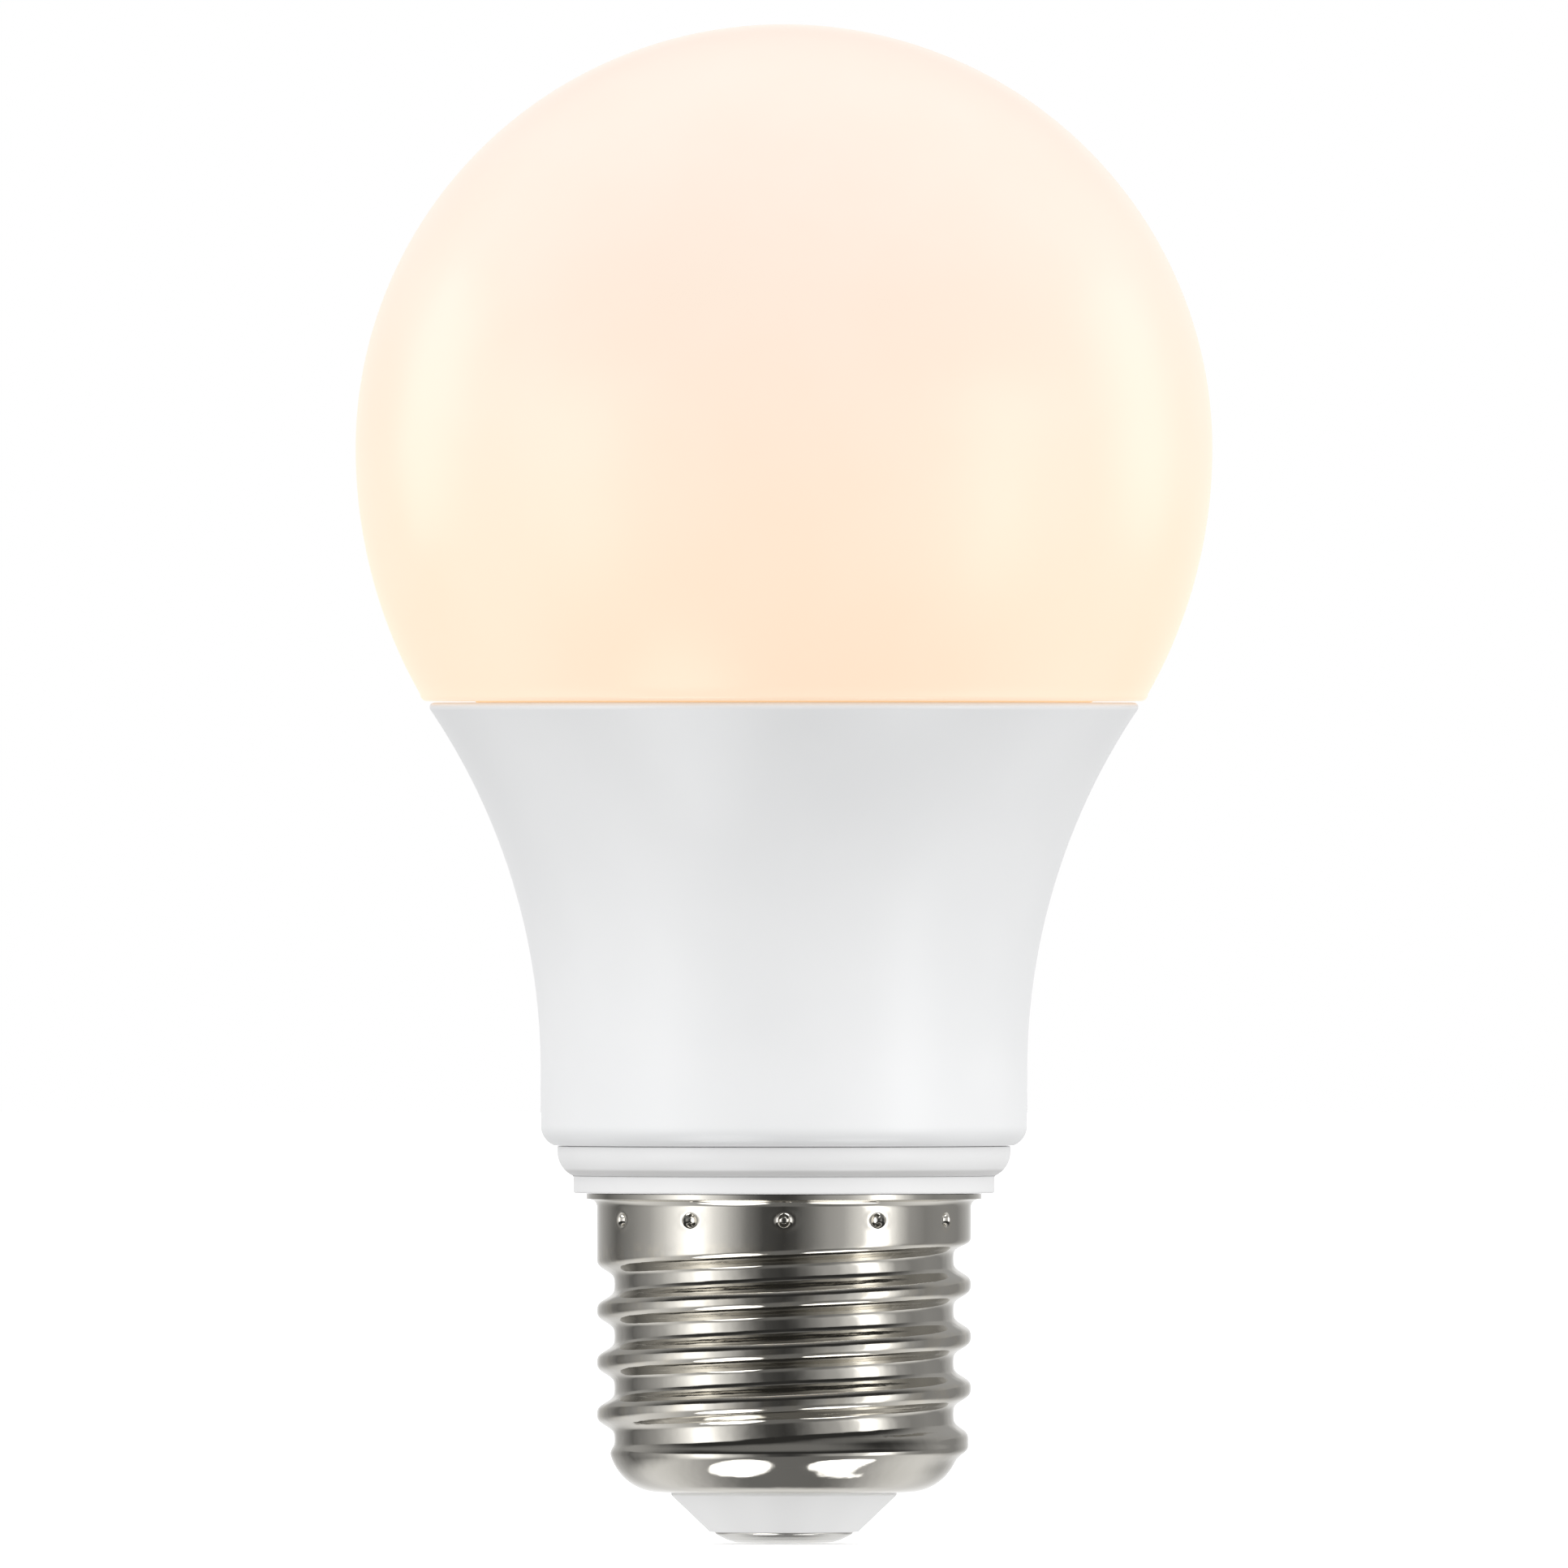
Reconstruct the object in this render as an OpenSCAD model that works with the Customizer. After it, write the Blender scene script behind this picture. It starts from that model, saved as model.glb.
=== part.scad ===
// Smart light bulb with an E27 screw cap.
// An opal globe closes a white housing. Inside are an aluminium heat sink, a ring of warm and
// cool LEDs, a wireless module whose antenna stands up through the LED board, and the mains
// driver in its own insulating cup, which also carries the screw cap.
// The origin is the face of the centre contact, on the axis. +Z points to the globe's crown.

/* [Globe] */
// Radius of the globe at its widest
globe_r = 30; // [29.5:0.1:30.5]
// Height of the globe's widest circle above the contact face
globe_mid_z = 76.6; // [75.6:0.1:78]
// Height of the crown above the widest circle
globe_crown = 29.7; // [29:0.1:31]
// Half height of the ellipse that the globe follows below its widest circle
globe_drop = 32.6; // [31.5:0.1:34]
// Wall of the globe
globe_wall = 1.2; // [0.8:0.1:1.6]

/* [Housing] */
// Height of the housing's rim, where the globe meets it
rim_z = 58.8; // [58.5:0.1:59.2]
// Outer radius of the straight lower part of the housing
waist_r = 17.04; // [17:0.02:17.2]
// Height where the flare begins
flare_z = 33.1; // [32.5:0.1:33.5]
// Radius of the curve that the flare follows
flare_bend = 45; // [44.5:0.5:46]
// Wall of the housing
housing_wall = 1.2; // [1:0.05:1.3]
// Height of the housing's lower edge
housing_z = 27.78; // [27.7:0.02:27.9]
// Rounding of the housing's lower edge
housing_round = 1.5; // [1.2:0.1:1.6]

/* [Heat sink and LED board] */
// Wall of the aluminium heat sink
sink_wall = 0.9; // [0.6:0.05:0.9]
// Height of the platform that the LED board lies on
platform_z = 55; // [54.6:0.1:55]
// Thickness of the LED board
led_board_t = 1.2; // [1:0.1:1.6]
// Radius of the LED board
led_board_r = 19.4; // [18.8:0.1:19.6]
// LEDs on the board, warm and cool ones in turn
led_count = 20; // [16:2:22]
// Radius of the ring of LEDs
led_ring_r = 16.8; // [16.6:0.1:17.2]
// Screws that hold the LED board
screw_count = 3; // [3:1:3]
// Radius of the circle of screws
screw_ring_r = 12.4; // [12.2:0.1:12.6]

/* [Screw cap] */
// Radius over the crests of the thread and over the skirt
crest_r = 13.1; // [13.08:0.01:13.22]
// Radius at the roots of the thread
root_r = 11.88; // [11.86:0.01:12.12]
// Rise of the thread in one turn
pitch = 3.6286; // [3.6:0.0002:3.65]
// Height of the lowest crest, on the +X side
crest_z = 7.16; // [7.1:0.02:7.3]
// Sheet thickness of the screw shell
shell_wall = 0.35; // [0.25:0.05:0.4]
// Height of the shell's lip under the collar
lip_z = 24.4; // [24.3:0.05:24.5]
// Punch marks round the skirt
punch_count = 12; // [8:4:12]
// Height of the punch marks
punch_z = 22.62; // [22.5:0.02:22.8]

/* [Driver cup] */
// Outer radius of the sleeve round the driver
sleeve_r = 14.7; // [14.5:0.05:14.75]
// Height of the sleeve's top edge
sleeve_top = 50; // [49:0.5:51]
// Wall of the sleeve and of the neck
cup_wall = 1.1; // [1:0.05:1.2]
// Outer radius of the ring below the housing
ring_r = 15.88; // [15.7:0.02:16]
// Radius of the collar above the screw shell
collar_r = 14.75; // [14.6:0.05:14.9]
// Outer radius of the neck inside the screw shell
neck_r = 11.4; // [11.3:0.05:11.45]
// Height of the neck's lower edge
neck_z = 9; // [8.6:0.1:10]

/* [Driver] */
// Thickness of the driver board
driver_board_t = 1.2; // [1:0.1:1.4]
// Half width of the driver board's upper part
driver_half_w = 12.6; // [12:0.1:12.8]
// Half width of the driver board's tail in the neck
tail_half_w = 9; // [8.6:0.1:9.2]

/* [Wireless module] */
// Width of the wireless board
wireless_w = 12; // [10:0.5:12]
// Height of the wireless board's top edge
wireless_top = 63.5; // [62:0.5:66]
// Distance of the wireless board's middle plane from the axis
wireless_y = 5; // [4.8:0.1:5.2]

/* [Hidden] */
$fn = 96;

// Clearance between pieces that only lie against each other
slip = 0.05;
// Clearance of a screw or a pin in its hole
hole_slip = 0.05;
// Globe: shadow gap at the rim, rounding of its edge, and the skirt that stands in the housing
seam_gap = 0.1;
globe_edge = 0.5;
globe_step = 3;
crown_flat_r = 0.8;
globe_skirt_r = 21.5;
globe_skirt_wall = 1.1;
globe_skirt_z = platform_z + 0.6;
// Screw bosses under the platform
platform_t = 1.2;
boss_r = 2.4;
boss_h = 2.9;
// Screws for the LED board
screw_r = 1.25;
screw_head_r = 2.1;
screw_head_h = 1.4;
screw_drive_w = 0.7;
screw_turn = 30;
// Layers on the platform
thermal_pad_t = 0.2;
led_board_z = platform_z + thermal_pad_t;
led_top = led_board_z + led_board_t;
// One LED: across, along, high, and the pocket with the phosphor
led_size = [2.8, 3.5, 0.8];
phosphor_r = 1.15;
phosphor_t = 0.25;
// Slots through the platform and the LED board
wireless_slot = [wireless_w + 1.2, 2.6];
pin_slot = [9.4, 2];
// Pin header between the driver and the LED board
header_pin_count = 4;
header_pin_pitch = 2;
header_pin_w = 0.64;
header_y = -1.9;
header_size = [10, 2.5, 2.4];
header_z = 47.8;
header_top = led_top + 2.4;
socket_size = [10, 3.6, 2.9];
// Screw shell: groove and ridge run-outs in turns, shape of the thread's flanks and roots,
// bottom dome and lip
thread_depth = crest_r - root_r;
thread_sides = 36;
rows_per_turn = 8;
thread_top = 21.4;
sheet_inset = 0.02;
groove_end = 3.88;
groove_fade = 0.3;
ridge_start = -0.45;
ridge_fade = 0.6;
fill_end = 0.02;
fill_fade = 0.22;
thread_middle = 13;
flank = 1.4;
root_round = 0.12;
dome_r = 3.6;
dome_z = 7.1;
dome_centre_r = 8.7;
dome_edge_z = 6.1;
dome_blend = 0.9;
shell_foot_z = dome_z - dome_r;
dome_steps = 6;
shell_hole_r = 7.95;
lip_r = 13.85;
lip_bend = 0.6;
skirt_turn = 7;
punch_r = 0.5;
punch_depth = 0.4;
// Base insulator and contact
contact_r = 4.86;
contact_flat_r = 3.4;
contact_t = 0.72;
contact_pin_r = 1.1;
contact_pin_top = 7.4;
insulator_foot_r = 5.2;
insulator_edge_z = 3.3;
insulator_flange_r = 8.8;
insulator_flange_t = 1.2;
insulator_boss_r = 2.6;
insulator_boss_z = 6.6;
// Driver cup
collar_z = 25.65;
ring_bend = 1.85;
ring_z = 27.35;
ring_top = housing_z - 0.04;
neck_land_r = 12.68;
neck_land_z = 21.7;
rail_gap = driver_board_t + 0.3;
rail_t = 1;
rail_depth = 2.1;
snap_count = 4;
snap_angle = 16;
wire_groove = [0.9, 0.7];
wire_groove_top = 17.5;
// Driver board
board_foot_z = 11;
board_shoulder_z = 27.4;
board_top = 49.6;
board_face = driver_board_t / 2;
// Wireless module
wireless_t = 0.8;
wireless_foot_z = 36.5;
wireless_face = wireless_y + wireless_t / 2;
shield_size = [10, 1.9, 11];
shield_z = 41;
antenna_z = 58.4;
antenna_turns = 4;
// Wires
live_wire_r = 0.75;
neutral_wire_r = 0.25;
live_route = [
    [4.6, 3.8, 12], [4.5, 3.7, 10.8], [3.6, 2.8, 9.6], [1.9, 1.4, 8.9], [0.6, 0.3, 8.7],
    [0, 0, 8.3], [0, 0, 7.9], [0, 0, 7.5]
];
neutral_route = [
    [-7.2, 1.2, 13], [-7.3, 1.3, 11.2], [-7.9, 1.1, 9.2], [-8.9, 0.6, 8.1], [-10, 0.2, 7.8],
    [-10.9, 0, 8.2], [-11.2, 0, 9.2], [-11.25, 0, 11], [-11.25, 0, 14], [-11.25, 0, 17]
];

// ---- Outlines ----

// Radius at height z of the surface that lies inset inside the housing's outer face
function flare_r(z, inset = 0) =
    z < flare_z
    ? waist_r - inset
    : waist_r + flare_bend - sqrt(pow(flare_bend + inset, 2) - pow(z - flare_z, 2));

// Points of that surface from height a to height b
function flare_line(a, b, inset, steps = 16) =
    [for (i = [0 : steps]) let (z = a + (b - a) * i / steps) [flare_r(z, inset), z]];

// Point of the globe's meridian at an angle above its widest circle
function globe_point(angle, inset) =
    [(globe_r - inset) * cos(angle),
     globe_mid_z + ((angle < 0 ? globe_drop : globe_crown) - inset) * sin(angle)];

// Angle at which the lower ellipse comes down to height z
function globe_angle(z, inset) = asin((z - globe_mid_z) / (globe_drop - inset));

// Meridian from the crown down to height z, with a flat spot on the axis
function globe_line(z, inset) =
    let (
        last = globe_angle(z, inset),
        steps = ceil((90 - last) / globe_step),
        crown = globe_mid_z + globe_crown - inset
    )
    concat(
        [[0, crown], [crown_flat_r, crown]],
        [for (i = [1 : steps]) globe_point(90 + (last - 90) * i / steps, inset)]
    );

// Points of an arc about a centre
function arc(centre, r, from, to, steps = 8) =
    [for (i = [0 : steps]) let (a = from + (to - from) * i / steps) centre + r * [cos(a), sin(a)]];

function reversed(list) = [for (i = [len(list) - 1 : -1 : 0]) list[i]];

// ---- Tools ----

module turned(points) {
    rotate_extrude() polygon(points);
}

module pipe(outer_r, inner_r, h) {
    difference() {
        cylinder(r = outer_r, h = h);
        translate([0, 0, -1]) cylinder(r = inner_r, h = h + 2);
    }
}

// A block from its lower corner centre: size in X, Y and Z, standing on z
module block(size, at = [0, 0, 0]) {
    translate(at + [0, 0, size.z / 2]) cube(size, center = true);
}

// Copies round the axis, each turned to face outwards
module around(count, r, first = 0) {
    for (i = [0 : count - 1]) rotate(first + 360 * i / count) translate([r, 0, 0]) children();
}

// A plain slot through a layer
module slot(size, y, z, h) {
    translate([0, y, z]) linear_extrude(h) square(size, center = true);
}

// The openings that the platform, the pad and the LED board share, grown by more
module board_openings(z, h, hole_r, more = 0) {
    slot(wireless_slot + [more, more], wireless_y, z, h);
    slot(pin_slot + [more, more], header_y, z, h);
    around(screw_count, screw_ring_r, screw_turn) translate([0, 0, z]) cylinder(r = hole_r, h = h);
}

// Tube through a list of points
function unit(v) = v / norm(v);
function heading(path, i) = unit(path[min(i + 1, len(path) - 1)] - path[max(i - 1, 0)]);
function hoop(path, i, r, sides) =
    let (t = heading(path, i), u = unit(cross(t, [0.3, 1, 0.1])), v = cross(t, u))
    [for (k = [0 : sides - 1]) path[i] + r * (cos(360 * k / sides) * u + sin(360 * k / sides) * v)];

module tube(path, r, sides = 8) {
    last = len(path) - 1;
    walls = [
        for (i = [0 : last - 1], k = [0 : sides - 1])
            let (a = i * sides + k, b = i * sides + (k + 1) % sides)
            each [[a, b + sides, b], [a, a + sides, b + sides]]
    ];
    ends = [
        [for (k = [0 : sides - 1]) k],
        [for (k = [sides - 1 : -1 : 0]) last * sides + k]
    ];
    polyhedron([for (i = [0 : last]) each hoop(path, i, r, sides)], concat(walls, ends));
}

// A smooth line through hand-set points
function bent(a, b, c, d, t) =
    0.5 * (2 * b + (c - a) * t + (2 * a - 5 * b + 4 * c - d) * t * t
           + (3 * b - 3 * c + d - a) * t * t * t);
function smooth_line(p, steps = 4) =
    let (n = len(p) - 1)
    concat([
        for (i = [0 : n - 1], s = [0 : steps - 1])
            bent(p[max(i - 1, 0)], p[i], p[i + 1], p[min(i + 2, n)], s / steps)
    ], [p[n]]);

// ---- Shells ----

module globe() {
    edge_z = rim_z + seam_gap;
    edge_at = globe_point(globe_angle(edge_z + globe_edge, 0), 0);
    inner_z = edge_z + globe_wall;
    color("linen") turned(concat(
        globe_line(edge_z + globe_edge, 0),
        arc(edge_at - [globe_edge, 0], globe_edge, -20, -90, 4),
        [[globe_skirt_r, edge_z], [globe_skirt_r, globe_skirt_z],
         [globe_skirt_r - globe_skirt_wall, globe_skirt_z],
         [globe_skirt_r - globe_skirt_wall, inner_z]],
        reversed(globe_line(inner_z, globe_wall))
    ));
}

// Bead of silicone between the globe's skirt and the housing
module globe_seal() {
    low = platform_z + 2;
    high = rim_z - 0.3;
    inset = housing_wall + slip;
    color("white") turned(concat(
        [[globe_skirt_r + slip, high], [globe_skirt_r + slip, low]],
        flare_line(low, high, inset, 4)
    ));
}

module housing() {
    lip_t = 1;
    lip_r = sleeve_r + 0.2;
    round_z = housing_z + housing_round * 0.93;
    centre = [waist_r - housing_round, round_z];
    color("whitesmoke") turned(concat(
        [[lip_r, housing_z]],
        arc(centre, housing_round, -asin(0.93), 0, 6),
        flare_line(flare_z - 1, rim_z, 0),
        reversed(flare_line(housing_z + lip_t, rim_z, housing_wall)),
        [[lip_r, housing_z + lip_t]]
    ));
}

module heat_sink() {
    inset = housing_wall + slip;
    foot_z = housing_z + 1 + slip;
    under = platform_z - platform_t;
    color("silver") difference() {
        union() {
            turned(concat(
                flare_line(foot_z, platform_z, inset),
                [[0, platform_z], [0, under]],
                reversed(flare_line(foot_z, under, inset + sink_wall))
            ));
            around(screw_count, screw_ring_r, screw_turn)
                translate([0, 0, under - boss_h]) cylinder(r = boss_r, h = boss_h + platform_t / 2);
        }
        board_openings(under - boss_h - 1, boss_h + platform_t + 2, screw_r + hole_slip, 0.6);
    }
}

// ---- LED board ----

module thermal_pad() {
    color("gainsboro") difference() {
        translate([0, 0, platform_z]) cylinder(r = led_board_r - 0.6, h = thermal_pad_t);
        board_openings(platform_z - 1, thermal_pad_t + 2, screw_r + 0.5, 0.8);
    }
}

module led_board() {
    color("white") difference() {
        translate([0, 0, led_board_z]) cylinder(r = led_board_r, h = led_board_t);
        board_openings(led_board_z - 1, led_board_t + 2, screw_r + 0.2);
    }
}

module board_screw() {
    translate([0, 0, led_top]) difference() {
        union() {
            cylinder(r1 = screw_head_r, r2 = screw_head_r * 0.8, h = screw_head_h);
            translate([0, 0, -5.4]) cylinder(r = screw_r, h = 5.5);
        }
        for (a = [0, 90])
            rotate(a) block([screw_head_r * 1.2, screw_drive_w, 1], [0, 0, screw_head_h - 0.7]);
    }
}

module led_board_screws() {
    color("silver") around(screw_count, screw_ring_r, screw_turn) board_screw();
}

// Every second LED, starting from the first or from the second
module led_places(second) {
    around(led_count / 2, led_ring_r, second * 360 / led_count) children();
}

module led_body() {
    difference() {
        block(led_size, [0, 0, led_top]);
        translate([0, 0, led_top + led_size.z - phosphor_t]) cylinder(r = phosphor_r, h = 1);
    }
}

module phosphor() {
    translate([0, 0, led_top + led_size.z - phosphor_t])
        cylinder(r = phosphor_r - 0.02, h = phosphor_t - 0.03);
}

module warm_leds() {
    color("white") led_places(0) led_body();
}

module warm_phosphors() {
    color("orange") led_places(0) phosphor();
}

module cool_leds() {
    color("white") led_places(1) led_body();
}

module cool_phosphors() {
    color("khaki") led_places(1) phosphor();
}

// ---- Pin header ----

module pin_row() {
    for (i = [0 : header_pin_count - 1])
        translate([(i - (header_pin_count - 1) / 2) * header_pin_pitch, header_y, 0]) children();
}

module header_pins() {
    foot = header_z + header_size.z / 2;
    reach = -header_y - board_face;
    color("gold") pin_row() {
        block([header_pin_w, header_pin_w, header_top - foot], [0, 0, foot]);
        block([header_pin_w, reach, header_pin_w], [0, reach / 2, foot]);
    }
}

module header_body() {
    foot = header_z + header_size.z / 2;
    color("dimgray") difference() {
        block(header_size, [0, header_y, header_z]);
        pin_row() {
            side = header_pin_w + 0.04;
            block([side, side, header_size.z], [0, 0, foot - 0.02]);
            block([side, header_size.y, side], [0, header_size.y / 2, foot - 0.02]);
        }
    }
}

module led_board_socket() {
    color("ivory") difference() {
        block(socket_size, [0, header_y, led_top]);
        pin_row() block([0.8, 0.8, socket_size.z], [0, 0, led_top - 0.4]);
    }
}

// ---- Wireless module ----

module wireless_board() {
    color("midnightblue") block([wireless_w, wireless_t, wireless_top - wireless_foot_z],
                                [0, wireless_y, wireless_foot_z]);
}

module wireless_shield() {
    wall = 0.2;
    middle = wireless_face + shield_size.y / 2;
    color("lightgray") difference() {
        block(shield_size, [0, middle, shield_z]);
        block(shield_size - [2 * wall, wall, 2 * wall], [0, middle - wall, shield_z + wall]);
    }
}

module wireless_chip() {
    color("black") block([5, 0.9, 5], [0, wireless_face + 0.45, shield_z + 1.5]);
}

module wireless_crystal() {
    color("silver") block([3.2, 0.8, 2.5], [0, wireless_face + 0.4, shield_z + 7.5]);
}

// Folded copper track at the top of the wireless board
module wireless_antenna() {
    track = 0.5;
    t = 0.07;
    step = (wireless_w - 2) / (2 * antenna_turns);
    left = 1 - wireless_w / 2;
    tall = 4.4;
    y = wireless_face + t / 2;
    color("darkgoldenrod") union() {
        for (i = [0 : 2 * antenna_turns])
            block([track, t, tall], [left + i * step, y, antenna_z]);
        for (i = [0 : 2 * antenna_turns - 1])
            block([step + track, t, track],
                  [left + (i + 0.5) * step, y, antenna_z + (i % 2 == 0 ? tall - track : 0)]);
    }
}

module wireless_pins() {
    count = 5;
    reach = wireless_y - wireless_t / 2 - board_face;
    color("gold") for (i = [0 : count - 1])
        block([0.6, reach, 0.6], [(i - (count - 1) / 2) * 2, board_face + reach / 2, 37.2]);
}

// ---- Driver cup ----

module cup_outline() {
    sleeve_in = sleeve_r - cup_wall;
    neck_in = neck_r - cup_wall;
    polygon(concat(
        [[neck_in, neck_z], [neck_r - 0.5, neck_z], [neck_r, neck_z + 0.8],
         [neck_r, neck_land_z - 0.7], [neck_land_r, neck_land_z], [neck_land_r, lip_z + slip],
         [collar_r, lip_z + slip], [collar_r, collar_z]],
        arc([ring_r - ring_bend, ring_z], ring_bend, -asin((ring_z - collar_z) / ring_bend), 0, 6),
        [[ring_r, ring_top], [sleeve_r, ring_top], [sleeve_r, sleeve_top],
         [sleeve_in, sleeve_top], [sleeve_in, ring_top], [neck_in, lip_z]]
    ));
}

// Two rails that hold one edge of the driver board
module rails(x, low, high) {
    for (side = [-1, 1])
        block([rail_depth, rail_t, high - low],
              [x - rail_depth / 2, side * (rail_gap + rail_t) / 2, low]);
}

// Hook that springs out above the heat sink's throat
module snap_hook() {
    z = sleeve_top - 6;
    rotate(-snap_angle / 2) rotate_extrude(angle = snap_angle)
        polygon([[sleeve_r - 0.4, z], [sleeve_r + 0.6, z + 0.3], [sleeve_r + 0.6, z + 0.9],
                 [sleeve_r - 0.4, z + 3]]);
}

module driver_cup() {
    color("white") difference() {
        union() {
            rotate_extrude() cup_outline();
            for (turn = [0, 180]) rotate(turn) {
                rails(sleeve_r - cup_wall + 0.4, board_shoulder_z + 1, sleeve_top - 1);
                rails(neck_r - cup_wall + 0.4, board_foot_z + 1, lip_z - 1);
                block([2.4, rail_gap + 2 * rail_t, 1], [neck_r - cup_wall - 0.7, 0, board_foot_z - 1]);
            }
            around(snap_count, 0, 45) snap_hook();
        }
        around(punch_count, 0) translate([neck_land_r - punch_depth, 0, punch_z])
            rotate([0, 90, 0]) cylinder(r = punch_r + 0.4, h = 2);
        rotate(180) block([2 * wire_groove.y, wire_groove.x, wire_groove_top - neck_z + 1],
                          [neck_r, 0, neck_z - 1]);
    }
}

// ---- Driver board ----

module driver_board() {
    corner = 0.8;
    color("darkgreen") rotate([90, 0, 0]) linear_extrude(driver_board_t, center = true) polygon([
        [tail_half_w, board_foot_z], [tail_half_w, board_shoulder_z],
        [driver_half_w - corner, board_shoulder_z], [driver_half_w, board_shoulder_z + corner],
        [driver_half_w, board_top - corner], [driver_half_w - corner, board_top],
        [corner - driver_half_w, board_top], [-driver_half_w, board_top - corner],
        [-driver_half_w, board_shoulder_z + corner], [corner - driver_half_w, board_shoulder_z],
        [-tail_half_w, board_shoulder_z], [-tail_half_w, board_foot_z]
    ]);
}

// A leg from a part at y to the near face of the driver board
module leg(x, y, z, r = 0.3) {
    side = sign(y);
    length = abs(y) - board_face;
    translate([x, side * board_face, z]) rotate([-side * 90, 0, 0]) cylinder(r = r, h = length);
}

// Can with a rolled groove near its foot, lying along Z, with two legs bent to the board
module electrolytic(at, r, h) {
    translate(at) turned([
        [0, 0], [r - 0.3, 0], [r, 0.3], [r, 1.2], [r - 0.3, 1.6], [r, 2], [r, h - 0.4],
        [r - 0.4, h], [r - 1.2, h], [r - 1.3, h - 0.15], [0, h - 0.15]
    ]);
    for (x = [-1.25, 1.25]) {
        translate([at.x + x, at.y, at.z - 0.8]) cylinder(r = 0.3, h = 0.9);
        leg(at.x + x, at.y - 0.3, at.z - 0.8);
    }
}

module bulk_capacitor() {
    color("darkslategray") electrolytic([0, -5.1, 13], 4, 12);
}

module output_capacitor() {
    color("navy") electrolytic([-0.5, -4.4, 27.6], 3.15, 9.6);
}

module film_capacitor() {
    size = [4.8, 6.4, 9];
    y = -1.2 - size.y / 2;
    color("goldenrod") union() {
        block(size, [-7.2, y, 28.4]);
        for (z = [30, 35.8]) leg(-7.2, -1.3, z);
    }
}

module varistor() {
    color("royalblue") union() {
        translate([-3.8, 1.4, 22]) rotate([-90, 0, 0]) cylinder(r1 = 3.2, r2 = 3.2, h = 2.6);
        for (x = [-5, -2.6]) leg(x, 1.5, 20);
    }
}

// Resistor that opens on a fault, in line with the live wire
module fuse_resistor() {
    color("seagreen") union() {
        translate([4.6, 3.8, 13.2]) cylinder(r = 1.5, h = 7);
        translate([4.6, 3.8, 12]) cylinder(r = 0.3, h = 1.3);
        translate([4.6, 3.8, 20.1]) cylinder(r = 0.3, h = 1.2);
        leg(4.6, 4.1, 21);
    }
}

module bridge_rectifier() {
    color("black") union() {
        block([6.4, 2.2, 4.6], [0, board_face + 1.2, 28.8]);
        for (x = [-2.2, 2.2], z = [28.3, 33.4]) block([0.8, 1.2, 0.6], [x, board_face + 0.6, z - 0.05]);
    }
}

module choke_core() {
    color("dimgray") translate([6.4, -4.5, 28.4]) turned([
        [0, 0], [3.1, 0], [3.1, 1.2], [1.6, 1.2], [1.6, 6.4], [3.1, 6.4], [3.1, 7.6], [0, 7.6]
    ]);
}

module choke_winding() {
    color("chocolate") union() {
        translate([6.4, -4.5, 29.65]) pipe(2.8, 1.65, 5.1);
        for (z = [30.4, 34]) leg(6.4, -1.9, z);
    }
}

// E core with its centre limb along Z
module transformer_core() {
    at = [0, -5.6, 38.3];
    color("darkslategray") difference() {
        block([10.4, 4.6, 9], at);
        for (side = [-1, 1]) block([2.2, 6, 5.8], at + [side * 2.95, 0, 1.6]);
    }
}

module transformer_bobbin() {
    at = [0, -5.6, 39.95];
    color("black") difference() {
        union() {
            block([8, 8.2, 0.8], at);
            block([4.7, 6, 5.7], at);
            block([8, 8.2, 0.8], at + [0, 0, 4.9]);
            for (x = [-3, 3], z = [0.1, 5]) leg(x, -2.2, at.z + z + 0.3, 0.25);
        }
        block([3.8, 4.7, 8], at - [0, 0, 1]);
        for (side = [-1, 1]) block([2, 4.7, 8], at + [side * 5.05, 0, -1]);
    }
}

module transformer_winding() {
    at = [0, -5.6, 40.8];
    color("gold") difference() {
        block([7.9, 7.9, 4], at);
        block([4.75, 6.05, 6], at - [0, 0, 1]);
        for (side = [-1, 1]) block([2, 4.7, 8], at + [side * 5.03, 0, -1]);
    }
}

// Chip with gull-wing legs on both sides
module chip(at, size, legs) {
    pitch_z = size.z / legs;
    block(size, at + [0, size.y / 2 + 0.15, 0]);
    for (side = [-1, 1], i = [0 : legs - 1])
        block([1.2, 0.5, 0.4], at + [side * (size.x / 2 + 0.3), 0.25, (i + 0.5) * pitch_z - 0.2]);
}

module converter_chip() {
    color("black") chip([-8, board_face, 39.6], [3.9, 1.4, 4.9], 4);
}

module dimmer_chip() {
    color("black") chip([8.4, board_face, 31.4], [2.8, 1.1, 3], 3);
}

module freewheel_diode() {
    color("black") union() {
        block([2.6, 2.1, 4.2], [8.6, board_face + 1.1, 39]);
        for (z = [38.6, 42.9]) block([1.5, 0.5, 0.8], [8.6, board_face + 0.25, z - 0.1]);
    }
}

// Small parts: each place is [x, z] on the board's chip side
resistor_places = [[-10.6, 29.6], [-10.6, 33], [-10.6, 36.4], [-4.8, 30.5], [-4.8, 34], [8, 46],
                   [10.4, 46], [2.6, 25], [6, 25]];
capacitor_places = [[-8.6, 46.6], [-5.6, 46.6], [10.8, 36.2], [8.2, 36.2], [-1.8, 15.4]];

module chip_parts(places, size) {
    for (p = places) block(size, [p.x, board_face + size.y / 2, p.y - size.z / 2]);
}

module chip_resistors() {
    color("black") chip_parts(resistor_places, [1.25, 0.5, 2]);
}

module chip_capacitors() {
    color("tan") chip_parts(capacitor_places, [1.25, 0.9, 2]);
}

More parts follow.
